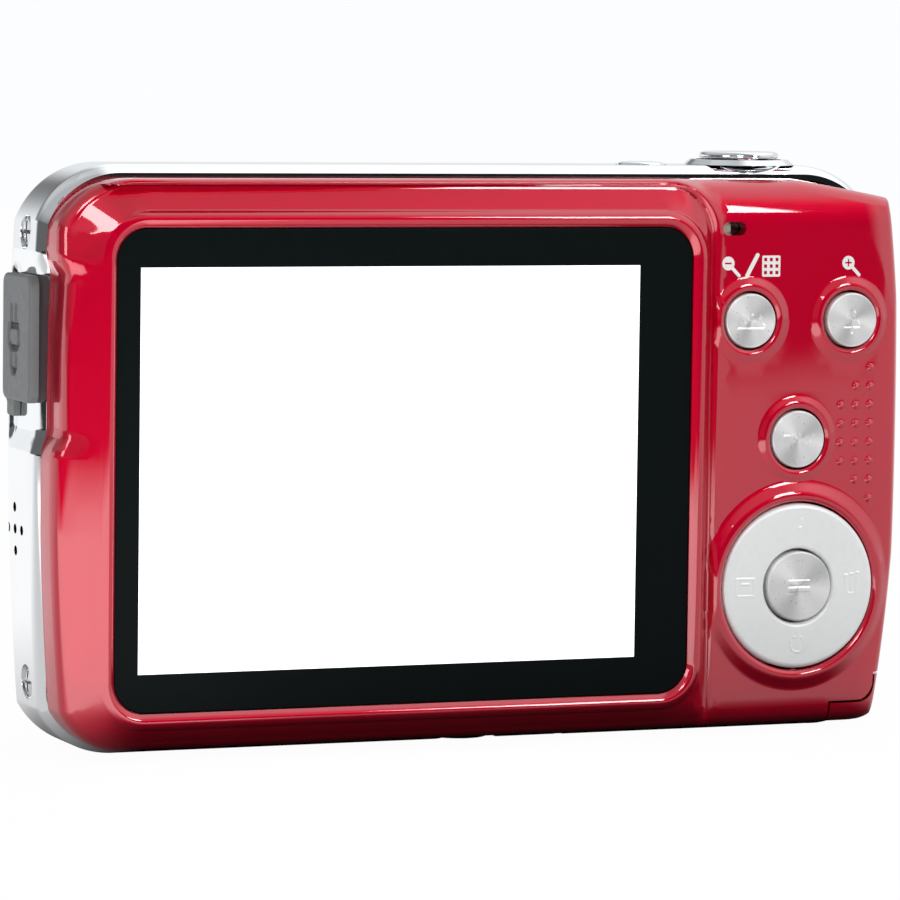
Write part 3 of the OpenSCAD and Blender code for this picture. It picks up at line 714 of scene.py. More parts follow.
def cover_floor(c):
    s = cover_inset(c)
    level = np.where(s > WALL, INNER, SEAM)
    hole = inset(c, *WINDOW) > -0.05
    for middle, radius, *_ in RINGS:
        hole |= radius_from(c, middle) < radius
    hole |= inset(c, LAMP - (1.35, 0.7), LAMP + (1.35, 0.7), 0.7) > 0
    hole |= door_inset(c, GAP) > 0
    level = level.astype(float)
    level[hole | (s < 0)] = np.nan
    return level


def cover_loops():
    loops = [cover_loop(s) for s in (0, 0.04, 0.16, 0.36, 0.62, 0.9, 1.2, WALL, 2.2, 3.2)]
    for d in (0.05, 0.3, 0.6, 0.85, 1.1, 1.4, LIP_D, 1.9):
        loops.append(round_box(WINDOW[0] - d, WINDOW[1] + d, WINDOW[2] + d))
    for h in (0.4, 0.0, -0.25, -0.55, -0.8, -1.2):
        low, high = HOUSING[0] + h, np.array(HOUSING[1]) - h
        loops.append(round_box(low, high, HOUSING[2] - h))
    for middle, hole, crest, foot, _ in RINGS:
        count = int(foot * 12)
        for r in (hole, (hole + crest) / 2, crest, crest + (foot - crest) * 0.35, crest + (foot - crest) * 0.7, foot):
            loops.append(circle(middle, r, count))
    for dot in DOTS:
        loops += [circle(dot, DOT_R * k, 12) for k in (1.25, 1.0, 0.75, 0.45)]
    loops.append(slot_outline(LAMP, 2.7, 1.4))
    loops.append(door_loop(GAP))
    return loops


cover = relief("rear_cover_shell", REAR, cover_loops(), cover_rise, cover_floor,
               grid(COVER[0], COVER[1], 1.4), 0.45)
finish_piece(cover, "red_paint", "camera_body", "rear_cover")

# ---------------------------------------------------------------- screen
LIT = np.array([54.0, 40.5]) / 2
LIT_MIDDLE = centre("lcd_panel")[[0, 2]]
GLASS_RISE = -WINDOW_LOW[1]
black_border = surface("screen_border", (0.0032, 0.0055, 0.006), 0, (0.3, 0.36), 1.0, 0.1, 0, Specular_IOR_Level=0.05)


def window_rise(p):
    return GLASS_RISE + rounded(inset(p, *WINDOW), 0.15, 0.15)


def border_floor(c):
    level = np.full(len(c), GLASS_RISE - 0.9)
    opening = inset(c, LIT_MIDDLE - LIT, LIT_MIDDLE + LIT, 0.01) > 0
    level[opening | (inset(c, *WINDOW) < 0)] = np.nan
    return level


border_loops = [round_box(WINDOW[0] + k, WINDOW[1] - k, WINDOW[2] - k, 4) for k in (0, 0.05, 0.15)]
border_loops.append(spaced([tuple(LIT_MIDDLE + LIT * k) for k in ((1, 1), (-1, 1), (-1, -1), (1, -1))], 6))
border = relief("screen_window_border", REAR, border_loops, window_rise, border_floor)
finish_piece(border, "screen_glass", "camera_body", "lcd_window", material=black_border)

lit_loop = spaced([tuple(LIT_MIDDLE + (LIT - 0.02) * k) for k in ((1, 1), (-1, 1), (-1, -1), (1, -1))], 6)
lit = relief("screen_lit_area", REAR, [lit_loop], lambda p: np.full(len(p), GLASS_RISE - 0.05),
             lambda c: np.full(len(c), GLASS_RISE - 0.9))
finish_piece(lit, "lit_panel", "camera_body")

# ---------------------------------------------------------------- buttons
button_sets = [
    ("zoom_out", ZOOM_OUT, ZOOM_R, -box("zoom_out_button")[0][1]),
    ("zoom_in", ZOOM_IN, ZOOM_R, -box("zoom_in_button")[0][1]),
    ("mode", MODE, MODE_R, -box("mode_button")[0][1]),
    ("menu", PAD, MENU_R, -box("menu_button")[0][1]),
]
# Engraved signs: each is a list of lines through points, in millimetres from the button's middle
SIGNS = {
    "zoom_out": [[(-1.5, -0.7), (-1.0, 0.5), (-0.5, -0.7)], [(-0.5, -0.7), (0, 0.9), (0.5, -0.7)],
                 [(0.5, -0.7), (1.0, 0.5), (1.5, -0.7)], [(-1.5, -0.7), (1.5, -0.7)]],
    "zoom_in": [[(-0.9, -0.7), (0, 1.4), (0.9, -0.7), (-0.9, -0.7)], [(0, -0.7), (0, -1.3)]],
    "mode": [[(-1.7, -0.4), (-1.7, 0.5), (-0.8, 0.5), (-0.8, -0.4), (-1.7, -0.4)],
             [(-0.4, -0.4), (0.05, 0.5), (0.5, -0.4), (-0.4, -0.4)], [(0.9, -0.4), (1.7, 0.5)],
             [(0.9, 0.5), (1.7, -0.4)]],
    "menu": [[(-1.2, 0.7), (1.2, 0.7)], [(-1.2, 0), (1.2, 0)], [(-1.2, -0.7), (1.2, -0.7)]],
}
LINE_HALF = 0.1


def engraved(p, middle, lines, depth, half=LINE_HALF):
    """Depth of the sign's lines at each point."""
    reach = np.min([path_distance(p - middle, line) for line in lines], axis=0)
    return -depth * (1 - step((reach - half * 0.6) / (half * 0.9)))


def button(name, middle, radius, face):
    def rise(p):
        r = radius_from(p, middle)
        dish = 0.1 * np.clip(r / radius, 0, 1) ** 2 - 0.1
        rim = rounded(radius - r, 0.22, 0.22)
        return face + dish + rim + engraved(p, middle, SIGNS[name], 0.04)

    def floor(c):
        return np.where(radius_from(c, middle) < radius, 6.4, np.nan)

    loops = [circle(middle, radius - k, 96) for k in (0, 0.02, 0.07, 0.14, 0.22)]
    points = grid(middle - radius, middle + radius, 0.14)
    return relief(name + "_button_cap", REAR, loops, rise, floor, points, 0.06)


for name, middle, radius, face in button_sets:
    cap = button(name, middle, radius, face)
    finish_piece(cap, "button_metal", name + "_button", name + "_button")

PAD_FACE = -box("four_way_pad")[0][1]
PAD_REACH = 6.15
PAD_SIGNS = [
    [(PAD_REACH * 0 + 0.25, PAD_REACH + 0.9), (-0.35, PAD_REACH - 0.1), (0.2, PAD_REACH), (-0.2, PAD_REACH - 1.0)],
    [(PAD_REACH - 0.7, 0.75), (PAD_REACH - 0.5, -0.9), (PAD_REACH + 0.5, -0.9), (PAD_REACH + 0.7, 0.75)],
    [(PAD_REACH - 0.9, 0.95), (PAD_REACH + 0.9, 1.25)],
    [(PAD_REACH, 0.6), (PAD_REACH, -0.6)],
    [(-PAD_REACH - 1, 0.9), (-PAD_REACH + 1, 0.9), (-PAD_REACH + 1, -0.9), (-PAD_REACH - 1, -0.9), (-PAD_REACH - 1, 0.9)],
    [(-PAD_REACH - 0.4, 0.3), (-PAD_REACH + 0.4, 0.3)],
    [(0.85 * math.sin(a), 0.85 * math.cos(a) - PAD_REACH) for a in [math.radians(25 * i - 30) for i in range(14)]],
    [(0, -PAD_REACH), (0, 1.3 - PAD_REACH)],
]


def pad_rise(p):
    r = radius_from(p, PAD)
    rim = rounded(PAD_R - r, 0.55, 0.4)
    well = rounded(r - MENU_R - 0.3, 0.45, 0.35)
    return PAD_FACE - 0.07 + rim + well - engraved(p, PAD, PAD_SIGNS, 0.028)


def pad_floor(c):
    r = radius_from(c, PAD)
    return np.where((r < PAD_R) & (r > MENU_R + 0.3), 6.6, np.nan)


pad_loops = [circle(PAD, PAD_R - k, 144) for k in (0, 0.05, 0.2, 0.38, 0.55, 1.2)]
pad_loops += [circle(PAD, MENU_R + 0.3 + k, 96) for k in (0, 0.05, 0.15, 0.3, 0.45)]
spots = [PAD + PAD_REACH * np.array(offset) for offset in ((0, 1), (1, 0), (0, -1), (-1, 0))]
pad_points = thinned(grid(PAD - PAD_R, PAD + PAD_R, 0.8), [(spot - 1.5, spot + 1.5, 0.13) for spot in spots])
pad = relief("four_way_pad_plate", REAR, pad_loops, pad_rise, pad_floor, pad_points, 0.08)
finish_piece(pad, "pad_metal", "four_way_pad", "four_way_pad")

# ---------------------------------------------------------------- printed signs
print_white = surface("print_white", (0.86, 0.85, 0.84), 0, (0.35, 0.45), 3.0, 0.03, 0.001)


def printed(name, loops, solid, holes=()):
    """A thin layer of ink that follows the cover's face."""
    def floor(c):
        level = np.where(solid(c), 8.0, np.nan)
        for hole in holes:
            level[hole(c)] = np.nan
        return level

    obj = relief(name, REAR, loops, lambda p: cover_rise(p) + 0.03, floor)
    return finish_piece(obj, "red_paint", "camera_body", material=print_white)


def magnifier(name, middle, tip, plus):
    middle, tip = np.array(middle), np.array(tip)
    bars = [(0.38, 0.09)] + ([(0.09, 0.38)] if plus else [])
    neck = middle + (tip - middle) * 0.3
    span = (neck + tip) / 2
    length = math.dist(neck, tip) + 0.3
    angle = math.degrees(math.atan2(*(tip - neck)[::-1]))
    loops = [circle(middle, 0.72, 32), slot_outline(span, length, 0.36, angle, 6)]
    holes = []
    for w, h in bars:
        size = np.array([w, h])
        loops.append([tuple(middle + size * k) for k in ((1, 1), (-1, 1), (-1, -1), (1, -1))])
        holes.append(lambda c, size=size: np.all(np.abs(c - middle) < size, axis=1))
    return printed(name, loops, lambda c: (radius_from(c, middle) < 0.715) | (stroke(c, neck, tip) < 0.175), holes)


magnifier("print_zoom_out", (26.2, 49.3), (27.5, 48.0), False)
magnifier("print_zoom_in", (40.3, 49.3), (41.6, 48.0), True)
SLASH = np.array([(29.6, 50.15), (28.4, 48.0)])
slash_angle = math.degrees(math.atan2(SLASH[0][1] - SLASH[1][1], SLASH[0][0] - SLASH[1][0]))
slash_loop = slot_outline(SLASH.mean(axis=0), math.dist(*SLASH) + 0.44, 0.44, slash_angle, 6)
printed("print_slash", [slash_loop], lambda c: stroke(c, *SLASH) < 0.218)
GRID_LOW, GRID_HIGH = np.array([30.15, 47.9]), np.array([32.27, 50.1])
cells = [np.array([GRID_LOW[0] + (i + 0.5) * 0.66 + 0.07, GRID_LOW[1] + (j + 0.5) * 0.68 + 0.08])
         for i in range(3) for j in range(3)]
cell_loops = [round_box(cell - 0.18, cell + 0.18, 0.03) for cell in cells]
printed("print_grid", [round_box(GRID_LOW, GRID_HIGH, 0.15)] + cell_loops,
        lambda c: inset(c, GRID_LOW, GRID_HIGH, 0.15) > 0,
        [lambda c, cell=cell: inset(c, cell - 0.18, cell + 0.18, 0.03) > 0 for cell in cells])

# ---------------------------------------------------------------- shutter button
SHUTTER = centre("shutter_button")[:2]
SHUTTER_TOP = box("shutter_button")[1][2]
shutter_profile = [
    (0, 54.9), (1.2, 54.9), (1.2, 57.2), (2.8, 57.2), (2.8, 59.75), (3.1, 59.92), (3.9, 59.98), (4.15, 60.06), (4.2, 60.2),
    (4.2, 60.3), (4.12, 60.5), (3.95, 60.62), (3.7, SHUTTER_TOP - 0.01), (3.4, SHUTTER_TOP - 0.03),
    (3.0, SHUTTER_TOP - 0.13), (2.2, SHUTTER_TOP - 0.2), (0, SHUTTER_TOP - 0.24)]
shutter = lathe("shutter_button_cap", TOP, SHUTTER, shutter_profile, 160, 60)
finish_piece(shutter, "chrome_top", "shutter_button", "shutter_button")

POWER = centre("power_button")[:2]
POWER_TOP = box("power_button")[1][2]
power_profile = [(0, 57.2), (2.2, 57.2), (2.2, 58.8), (2.44, 58.95), (2.48, POWER_TOP - 0.4),
                 (2.38, POWER_TOP - 0.22), (2.1, POWER_TOP - 0.1), (1.4, POWER_TOP - 0.03), (0, POWER_TOP)]
power = lathe("power_button_cap", TOP, POWER, power_profile, 120, 60)
finish_piece(power, "chrome_top", "power_button", "power_button")

# ---------------------------------------------------------------- socket flap
FLAP_Z = (35.5, FLAP_HIGH[2])
FLAP_Y = (FLAP_LOW[1], FLAP_HIGH[1])
FLAP_RISE = -FLAP_LOW[0]
FLAP_BOX = (np.array([-FLAP_Y[1], FLAP_Z[0]]), np.array([-FLAP_Y[0], FLAP_Z[1]]), 1.1)
TAB_BOX = (np.array([-4.1, FLAP_LOW[2]]), np.array([-1.5, 37.0]), 0.4)
FLAP_SIGN_MIDDLE = np.array([-0.7, 0])
FLAP_SIGN = [
    [(-0.75, 43.6), (-0.75, 44.9)], [(0.75, 43.6), (0.75, 44.9)],
    [(-1.35, 43.0), (-1.65, 42.3), (-1.6, 41.3), (-1.0, 40.75), (1.0, 40.75), (1.6, 41.3), (1.65, 42.3), (1.35, 43.0),
     (-1.35, 43.0)],
    [(-0.8, 40.2), (-0.8, 39.0), (-0.35, 38.45), (0.35, 38.45), (0.8, 39.0), (0.8, 39.9)],
]


def flap_rise(p):
    body = inset(p, *FLAP_BOX)
    tab = inset(p, *TAB_BOX)
    plate = FLAP_RISE + rounded(body, 0.35, 0.3)
    strap = FLAP_RISE - 0.35 + rounded(tab, 0.2, 0.15)
    sign = engraved(p, FLAP_SIGN_MIDDLE, FLAP_SIGN, 0.35, 0.3)
    return np.where(body > 0, plate + sign, strap)


FLAP_BACK, FLAP_PLUG_BACK = 47.0, 45.85
PLUG_LOW, PLUG_HIGH = np.array([-1.35, 38.5]), np.array([0.55, 45.1])


def flap_floor(c):
    solid = (inset(c, *FLAP_BOX) > 0) | (inset(c, *TAB_BOX) > 0)
    plug = inset(c, PLUG_LOW, PLUG_HIGH, 0.5) > 0
    return np.where(solid, np.where(plug, FLAP_PLUG_BACK, FLAP_BACK), np.nan)


flap_loops = [round_box(FLAP_BOX[0] + k, FLAP_BOX[1] - k, FLAP_BOX[2] - k * 0.9, 0.8) for k in (0, 0.06, 0.18, 0.35)]
flap_loops += [round_box(TAB_BOX[0] + k, TAB_BOX[1] - k, TAB_BOX[2] - k * 0.8, 0.5) for k in (0, 0.08, 0.2)]
flap_loops.append(round_box(PLUG_LOW, PLUG_HIGH, 0.5, 0.8))
flap_points = thinned(grid(FLAP_BOX[0], FLAP_BOX[1], 0.8), [(np.array([-3.1, 37.8]), np.array([1.7, 45.6]), 0.16)])
flap = relief("socket_flap_plate", LEFT, flap_loops, flap_rise, flap_floor, flap_points, 0.1)
finish_piece(flap, "flap_rubber", "usb_flap", "usb_flap")

# Painted shade in the sign's grooves: a near-black sheet lies in each groove where shade would fall.
strokes = [(np.array(a) + FLAP_SIGN_MIDDLE, np.array(b) + FLAP_SIGN_MIDDLE)
           for line in FLAP_SIGN for a, b in zip(line, line[1:])]
painted_shade_loops = [slot_outline((a + b) / 2, math.dist(a, b) + 0.4, 0.4, math.degrees(math.atan2(*(b - a)[::-1])), 4)
               for a, b in strokes]
painted_shade_black = surface("flap_sign_painted_shade", (0.015, 0.015, 0.016), 0, (0.5, 0.6), 2.0, 0.1, 0.001)
painted_shade_sign = relief("socket_flap_sign_painted_shade", LEFT, painted_shade_loops, lambda p: np.full(len(p), FLAP_RISE - 0.22),
               lambda c: np.where(np.min([stroke(c, a, b) for a, b in strokes], axis=0) < 0.2, FLAP_RISE - 0.5, np.nan))
finish_piece(painted_shade_sign, "flap_rubber", "usb_flap", material=painted_shade_black)

# ---------------------------------------------------------------- status lamp
lamp = relief("status_lamp_pipe", REAR, [slot_outline(LAMP, 2.5, 1.2), slot_outline(LAMP, 2.2, 0.9)],
              lambda p: 7.9 - 0.9 * step((p[:, 0] - LAMP[0] + 0.1) / 0.3), lambda c: np.full(len(c), 6.3),
              grid(LAMP - 1.2, LAMP + 1.2, 0.2), 0.06)
finish_piece(lamp, "lamp_clear", "camera_body", "status_lamp", material=lamp_pipe())

# ---------------------------------------------------------------- chrome side frame
FRAME = (FRAME_LOW[[0, 2]], FRAME_HIGH[[0, 2]])
FRAME_Y = (FRAME_LOW[1], FRAME_HIGH[1])
FRAME_WALL = 1.5
REAR_EDGE, FRONT_EDGE = (1.9, 0.9), (0.9, 0.45)
FRAME_BOW_R, FRAME_BOW_Z = 360.0, 33.0
POCKET_Y = 4.2
POCKET_DEPTH = 0.55


def frame_inset(p):
    """Distance inside the side frame's outline: large corners at the left and a bowed left side."""
    low, high = FRAME
    left_corners = inset(p, low, high + (FAR, 0), 9.0)
    low_corner = inset(p, low - (FAR, 0), high + (0, FAR), 7.0)
    high_corner = inset(p, low - (FAR, FAR), high, 10.0)
    bow = FRAME_BOW_R - radius_from(p, (low[0] + FRAME_BOW_R, FRAME_BOW_Z))
    return np.min([left_corners, low_corner, high_corner, bow], axis=0)


def frame_edge(y):
    """How far the frame's surface lies inside its outline at each depth."""
    rear = np.clip((FRAME_Y[0] + REAR_EDGE[0] - y) / REAR_EDGE[0], 0, 0.999)
    front = np.clip((y - FRAME_Y[1] + FRONT_EDGE[0]) / FRONT_EDGE[0], 0, 0.999)
    return REAR_EDGE[1] * rear ** 2 + FRONT_EDGE[1] * (1 - np.sqrt(1 - front ** 2))


def pocket(x, y, z):
    """How far the left side is pressed in for the socket's flap."""
    return POCKET_DEPTH * bite(z) * step((POCKET_Y - y) / 0.9) * (x < -40)


def frame_surface(q):
    """Zero on the frame's outer surface and positive inside it."""
    x, y, z = q.T
    return frame_inset(np.column_stack([x - pocket(x, y, z), z])) - frame_edge(y)


def frame_band():
    t = np.sin(np.linspace(0, math.pi / 2, 9))
    rear = FRAME_Y[0] + REAR_EDGE[0] * (1 - t[::-1])
    front = FRAME_Y[1] - FRONT_EDGE[0] * (1 - t[1::2])
    slope = np.linspace(POCKET_Y - 0.9, POCKET_Y, 8)
    depths = np.concatenate([rear, [-1.0, 0.0, 1.0, 2.2], slope, front[front > POCKET_Y]])
    depths = np.unique(depths)
    section = [(float(frame_edge(y)), y) for y in depths]
    section += [(FRAME_WALL, FRAME_Y[1]), (FRAME_WALL, FRAME_Y[0])]
    rings = []
    for s, y in section:
        ring = np.array(outline_of(frame_inset, *FRAME, s, 0.4))
        ring[:, 0] += pocket(ring[:, 0], np.full(len(ring), y), ring[:, 1])
        rings.append(np.column_stack([ring[:, 0], np.full(len(ring), y), ring[:, 1]]))
    count, turns = len(rings[0]), len(rings)
    faces = []
    for k in range(turns):
        for i in range(count):
            a, b = k * count, (k + 1) % turns * count
            j = (i + 1) % count
            faces.append((a + i, b + i, b + j, a + j))
    return new_object("side_frame_band", np.vstack(rings), faces)


def smooth_over(obj, surface_of, reach=0.03):
    """Shades the corners that lie on a surface with that surface's own slope."""
    mesh = obj.data
    mesh.shade_smooth()
    mesh.set_sharp_from_angle(angle=math.radians(40))
    points = np.zeros(len(mesh.vertices) * 3)
    mesh.vertices.foreach_get("co", points)
    points = points.reshape(-1, 3) / MM
    corner = np.zeros(len(mesh.loops), int)
    mesh.loops.foreach_get("vertex_index", corner)
    normals = np.zeros(len(mesh.loops) * 3)
    mesh.corner_normals.foreach_get("vector", normals)
    normals = normals.reshape(-1, 3)
    flat = np.zeros(len(mesh.polygons) * 3)
    mesh.polygons.foreach_get("normal", flat)
    sizes = np.zeros(len(mesh.polygons), int)
    mesh.polygons.foreach_get("loop_total", sizes)
    flat = np.repeat(flat.reshape(-1, 3), sizes, axis=0)
    h = 0.02
    slope = np.column_stack([surface_of(points + d) - surface_of(points - d) for d in np.eye(3) * h])
    smooth = -slope / np.maximum(np.linalg.norm(slope, axis=1), 1e-9)[:, None]
    on = (np.abs(surface_of(points)) < reach)[corner] & ((smooth[corner] * flat).sum(axis=1) > 0.75)
    normals[on] = smooth[corner][on]
    mesh.normals_split_custom_set([tuple(n) for n in normals])


DOOR_LOW, DOOR_HIGH = box("battery_door")
SIDE_MIDDLE = centre("shutter_button")[1]
SCREW_Z = [box("side_screws")[0][2] + 1.6, box("side_screws")[1][2] - 1.6]
BASE_SCREW_X = [box("base_screws")[0][0] + 1.6, box("base_screws")[1][0] - 1.6]
SPEAKER = np.array([-centre("speaker")[1], centre("speaker")[2]])
USB = np.array([centre("usb_socket")[1], centre("usb_socket")[2]])


def left_face(z):
    """Distance of the frame's left side from the middle plane."""
    x = np.linspace(-48, -40, 801)
    inside = frame_inset(np.column_stack([x, np.full(len(x), z)])) > 0
    return -x[np.argmax(inside)]


band = frame_band()
cutters = [rod(LEFT, (-SIDE_MIDDLE, z), 1.75, left_face(z) - 0.7, 50) for z in SCREW_Z]
cutters += [rod(LEFT, (-SIDE_MIDDLE, z), 0.85, 44, 50) for z in SCREW_Z]
cutters += [rod(LEFT, SPEAKER + 2.2 * np.array(k), 0.5, 44, 50) for k in ((0, 0), (1, 0), (-1, 0), (0, 1), (0, -1))]
cutters += [rod(TOP, centre("shutter_button")[:2], 3.4, 57, 61), rod(TOP, centre("power_button")[:2], 2.7, 57, 61)]
cutters += [rod(TOP, (0, 0), 4.3, -2, 3)]
cutters += [rod(TOP, (x, SIDE_MIDDLE), 1.75, -2, 0.7) for x in BASE_SCREW_X]
cutters += [rod(TOP, (x, SIDE_MIDDLE), 0.85, -1, 3) for x in BASE_SCREW_X]
cutters += [
    block((-50, USB[0] - 1.8, USB[1] - 4.3), (-44, USB[0] + 1.8, USB[1] + 4.3)),
    block((45, -1.6, 46), (49, 2.2, 52.4)),
    block((DOOR_LOW[0] - 0.3, -2.9, -2), (52, 6, 6)),
    block((DOOR_X - 0.3, -6, -2), (52, 0, 3.15)),
    block((DOOR_STEP_X - 0.3, -6, -2), (52, 0, 6)),
]
cut(band, cutters)
smooth_over(band, frame_surface)
finish_piece(band, "chrome_frame", "camera_body", "side_frame")

screws = []
for z in SCREW_Z:
    face = left_face(z) - 0.15
    head = [(0, face - 4.4), (0.75, face - 4.4), (0.75, face - 0.55), (1.55, face - 0.55), (1.6, face - 0.3),
            (1.45, face - 0.12), (1.1, face), (0.6, face + 0.06), (0, face + 0.08)]
    screw = lathe("side_screw_head", LEFT, (-SIDE_MIDDLE, z), head, 48)
    cut(screw, [block((-face - 1, SIDE_MIDDLE - 0.2, z - 1.1), (-face + 0.35, SIDE_MIDDLE + 0.2, z + 1.1)),
                block((-face - 1, SIDE_MIDDLE - 1.1, z - 0.2), (-face + 0.35, SIDE_MIDDLE + 1.1, z + 0.2))])
    screw.data.shade_smooth()
    screw.data.set_sharp_from_angle(angle=math.radians(35))
    screws.append(screw)
for screw, side in zip(screws, ("low", "high")):
    screw.name = "side_screw_" + side
finish_piece(screws[0], "screw_steel", "camera_body", "side_screws")
finish_piece(screws[1], "screw_steel", "camera_body")

# ---------------------------------------------------------------- tripod socket
SOCKET_TOP = box("tripod_socket")[1][2]
thread = []
for i in range(8):
    thread += [(2.6, 5.2 - 0.635 * i), (3.0, 4.88 - 0.635 * i)]
socket_profile = [(0, 5.5), (2.6, 5.5)] + thread + [(2.9, 0.02), (3.1, 0.02), (4.1, 0.75), (4.2, 0.95),
                                                    (4.2, SOCKET_TOP), (0, SOCKET_TOP)]
socket = lathe("tripod_socket_bush", TOP, centre("tripod_socket")[:2], socket_profile, 64, 30)
finish_piece(socket, "socket_steel", "camera_body", "tripod_socket")

# ---------------------------------------------------------------- front cover
FRONT_LOW, FRONT_HIGH = box("front_cover")
LENS = centre("lens_ring")[[0, 2]] * (-1, 1)
FLASH = centre("flash_window")[[0, 2]] * (-1, 1)
TIMER = centre("timer_lamp")[[0, 2]] * (-1, 1)
MIC = centre("microphone")[[0, 2]] * (-1, 1)
FLASH_HALF = np.array([6.1, 3.3])


def front_inset(p):
    """Distance inside the front cover's outline, seen from the front: it tapers more at the screen's end."""
    x = -p[:, 0]
    return frame_inset(p * (-1, 1)) - 0.3 - 0.6 * step((20 - x) / 40)


def front_rise(p):
    s = front_inset(p)
    x, z = -p[:, 0], p[:, 1]
    upper = step(z / 10)
    width = 3.0 + (2.5 + 1.5 * step((20 - x) / 40)) * upper
    drop = 2.8 + (2.5 + 0.6 * step((20 - x) / 40)) * upper
    t = np.clip(1 - s / width, 0, 1)
    return FRONT_HIGH[1] - drop * (1 - np.sqrt(1 - t * t))


def front_floor(c):
    s = front_inset(c)
    level = np.select([s > 4, s > 2.5, s > 1.1], [9.6, 8.2, 6.4], FRONT_LOW[1])
    face = front_rise(c)
    door = (-c[:, 0] > DOOR_LOW[0] - 0.3) & (c[:, 1] < DOOR_HIGH_Z + 0.3)
    level = np.where(door, np.maximum(level, DOOR_HIGH[1] + 0.3), level)
    latch = (np.abs(-c[:, 0] - 13.8) < 2) & (c[:, 1] > 1.9) & (c[:, 1] < 3.4)
    level = np.where(latch, np.maximum(level, 8.6), level)
    hole = radius_from(c, LENS) < 14.3
    hole |= radius_from(c, TIMER) < 1.7
    hole |= radius_from(c, MIC) < 0.5
    hole |= np.all(np.abs(c - FLASH) < FLASH_HALF, axis=1)
    level[hole | (s < 0) | (face < level + 0.05)] = np.nan
    return level


front_low, front_high = np.array([-FRAME[1][0], FRAME[0][1]]), np.array([-FRAME[0][0], FRAME[1][1]])
front_loops = [outline_of(front_inset, front_low, front_high, s)
               for s in (0, 0.03, 0.12, 0.28, 0.5, 0.8, 1.1, 1.6, 2.5, 3.2, 4.0, 4.8, 5.5)]
front_loops += [circle(LENS, 14.3, 120), circle(TIMER, 1.7, 32), circle(MIC, 0.5, 16)]
front_loops.append([tuple(FLASH + FLASH_HALF * k) for k in ((1, 1), (-1, 1), (-1, -1), (1, -1))])
front_loops.append([(-15.8, 1.9), (-11.8, 1.9), (-11.8, 3.4), (-15.8, 3.4)])
door_side = -(DOOR_LOW[0] - 0.3)
front_loops.append(spaced([(door_side, -1), (door_side, DOOR_HIGH_Z + 0.3), (-49, DOOR_HIGH_Z + 0.3), (-49, -1)], 1.0))
front = relief("front_cover_shell", FRONT, front_loops, front_rise, front_floor,
               grid(front_low, front_high, 2.0), 0.5)
finish_piece(front, "red_paint", "camera_body", "front_cover")

# ---------------------------------------------------------------- battery door
door_source = frame["nodes"]["battery_door"]
door_shell = bpy.data.objects.new("battery_door_shell", door_source.data.copy())
door_shell.matrix_world = door_source.matrix_world
bpy.context.scene.collection.objects.link(door_shell)
cut(door_shell, [block((30, -20, -5), (60, -SEAM, 20))])
door_shell.data.shade_smooth()
door_shell.data.set_sharp_from_angle(angle=math.radians(30))
door_shell.data.materials.clear()
finish_piece(door_shell, "red_paint", "battery_door", "battery_door")


def corner_floor(c):
    level = np.full(len(c), SEAM)
    level[(door_inset(c, 0) < 0) | (cover_inset(c) < 0)] = np.nan
    return level


corner_loops = [cover_loop(s) for s in (0, 0.04, 0.16, 0.36, 0.62, 0.9, 1.2)] + [door_loop(0)]
corner_points = grid((DOOR_X - 1, 0), (49, DOOR_HIGH_Z + 1), 0.6)
corner_piece = relief("battery_door_corner", REAR, corner_loops, cover_rise, corner_floor, corner_points, 0.2)
finish_piece(corner_piece, "red_paint", "battery_door")

# ---------------------------------------------------------------- stage and camera
VIEW_AZIMUTH, VIEW_ELEVATION, VIEW_ROLL = (math.radians(a) for a in (-22.095, 4.684, 0.756))
VIEW_RIGHT, VIEW_UP, VIEW_BACK = 5.750, 1.738, 505.16
VIEW_TARGET = Vector((LIT_MIDDLE[0], WINDOW_LOW[1] + 0.1, LIT_MIDDLE[1] - 0.05))


def make_camera():
    """The camera of the photograph: its angles about the lit screen's middle, and a 200 mm lens."""
    sa, ca = math.sin(VIEW_AZIMUTH), math.cos(VIEW_AZIMUTH)
    se, ce = math.sin(VIEW_ELEVATION), math.cos(VIEW_ELEVATION)
    back = Vector((sa * ce, -ca * ce, se))
    level = Vector((ca, sa, 0))
    rise = back.cross(level)
    right = math.cos(VIEW_ROLL) * level + math.sin(VIEW_ROLL) * rise
    up = math.cos(VIEW_ROLL) * rise - math.sin(VIEW_ROLL) * level
    place = (VIEW_TARGET + right * VIEW_RIGHT + up * VIEW_UP + back * VIEW_BACK) * MM
    data = bpy.data.cameras.new("camera")
    data.lens, data.sensor_width = 200, 36
    data.clip_start, data.clip_end = 0.01, 20
    camera = bpy.data.objects.new("camera", data)
    camera.matrix_world = Matrix.Translation(place) @ Matrix((right, up, back)).transposed().to_4x4()
    bpy.context.scene.collection.objects.link(camera)
    bpy.context.scene.camera = camera


def seen_or_reflected(tree, seen, reflected):
    """White to the camera, and the studio's own light in reflections."""
    path = tree.nodes.new("ShaderNodeLightPath")
    mix = tree.nodes.new("ShaderNodeMix")
    tree.links.new(path.outputs["Is Camera Ray"], mix.inputs[0])
    tree.links.new(reflected, mix.inputs[2])
    mix.inputs[3].default_value = seen
    return mix.outputs[0]


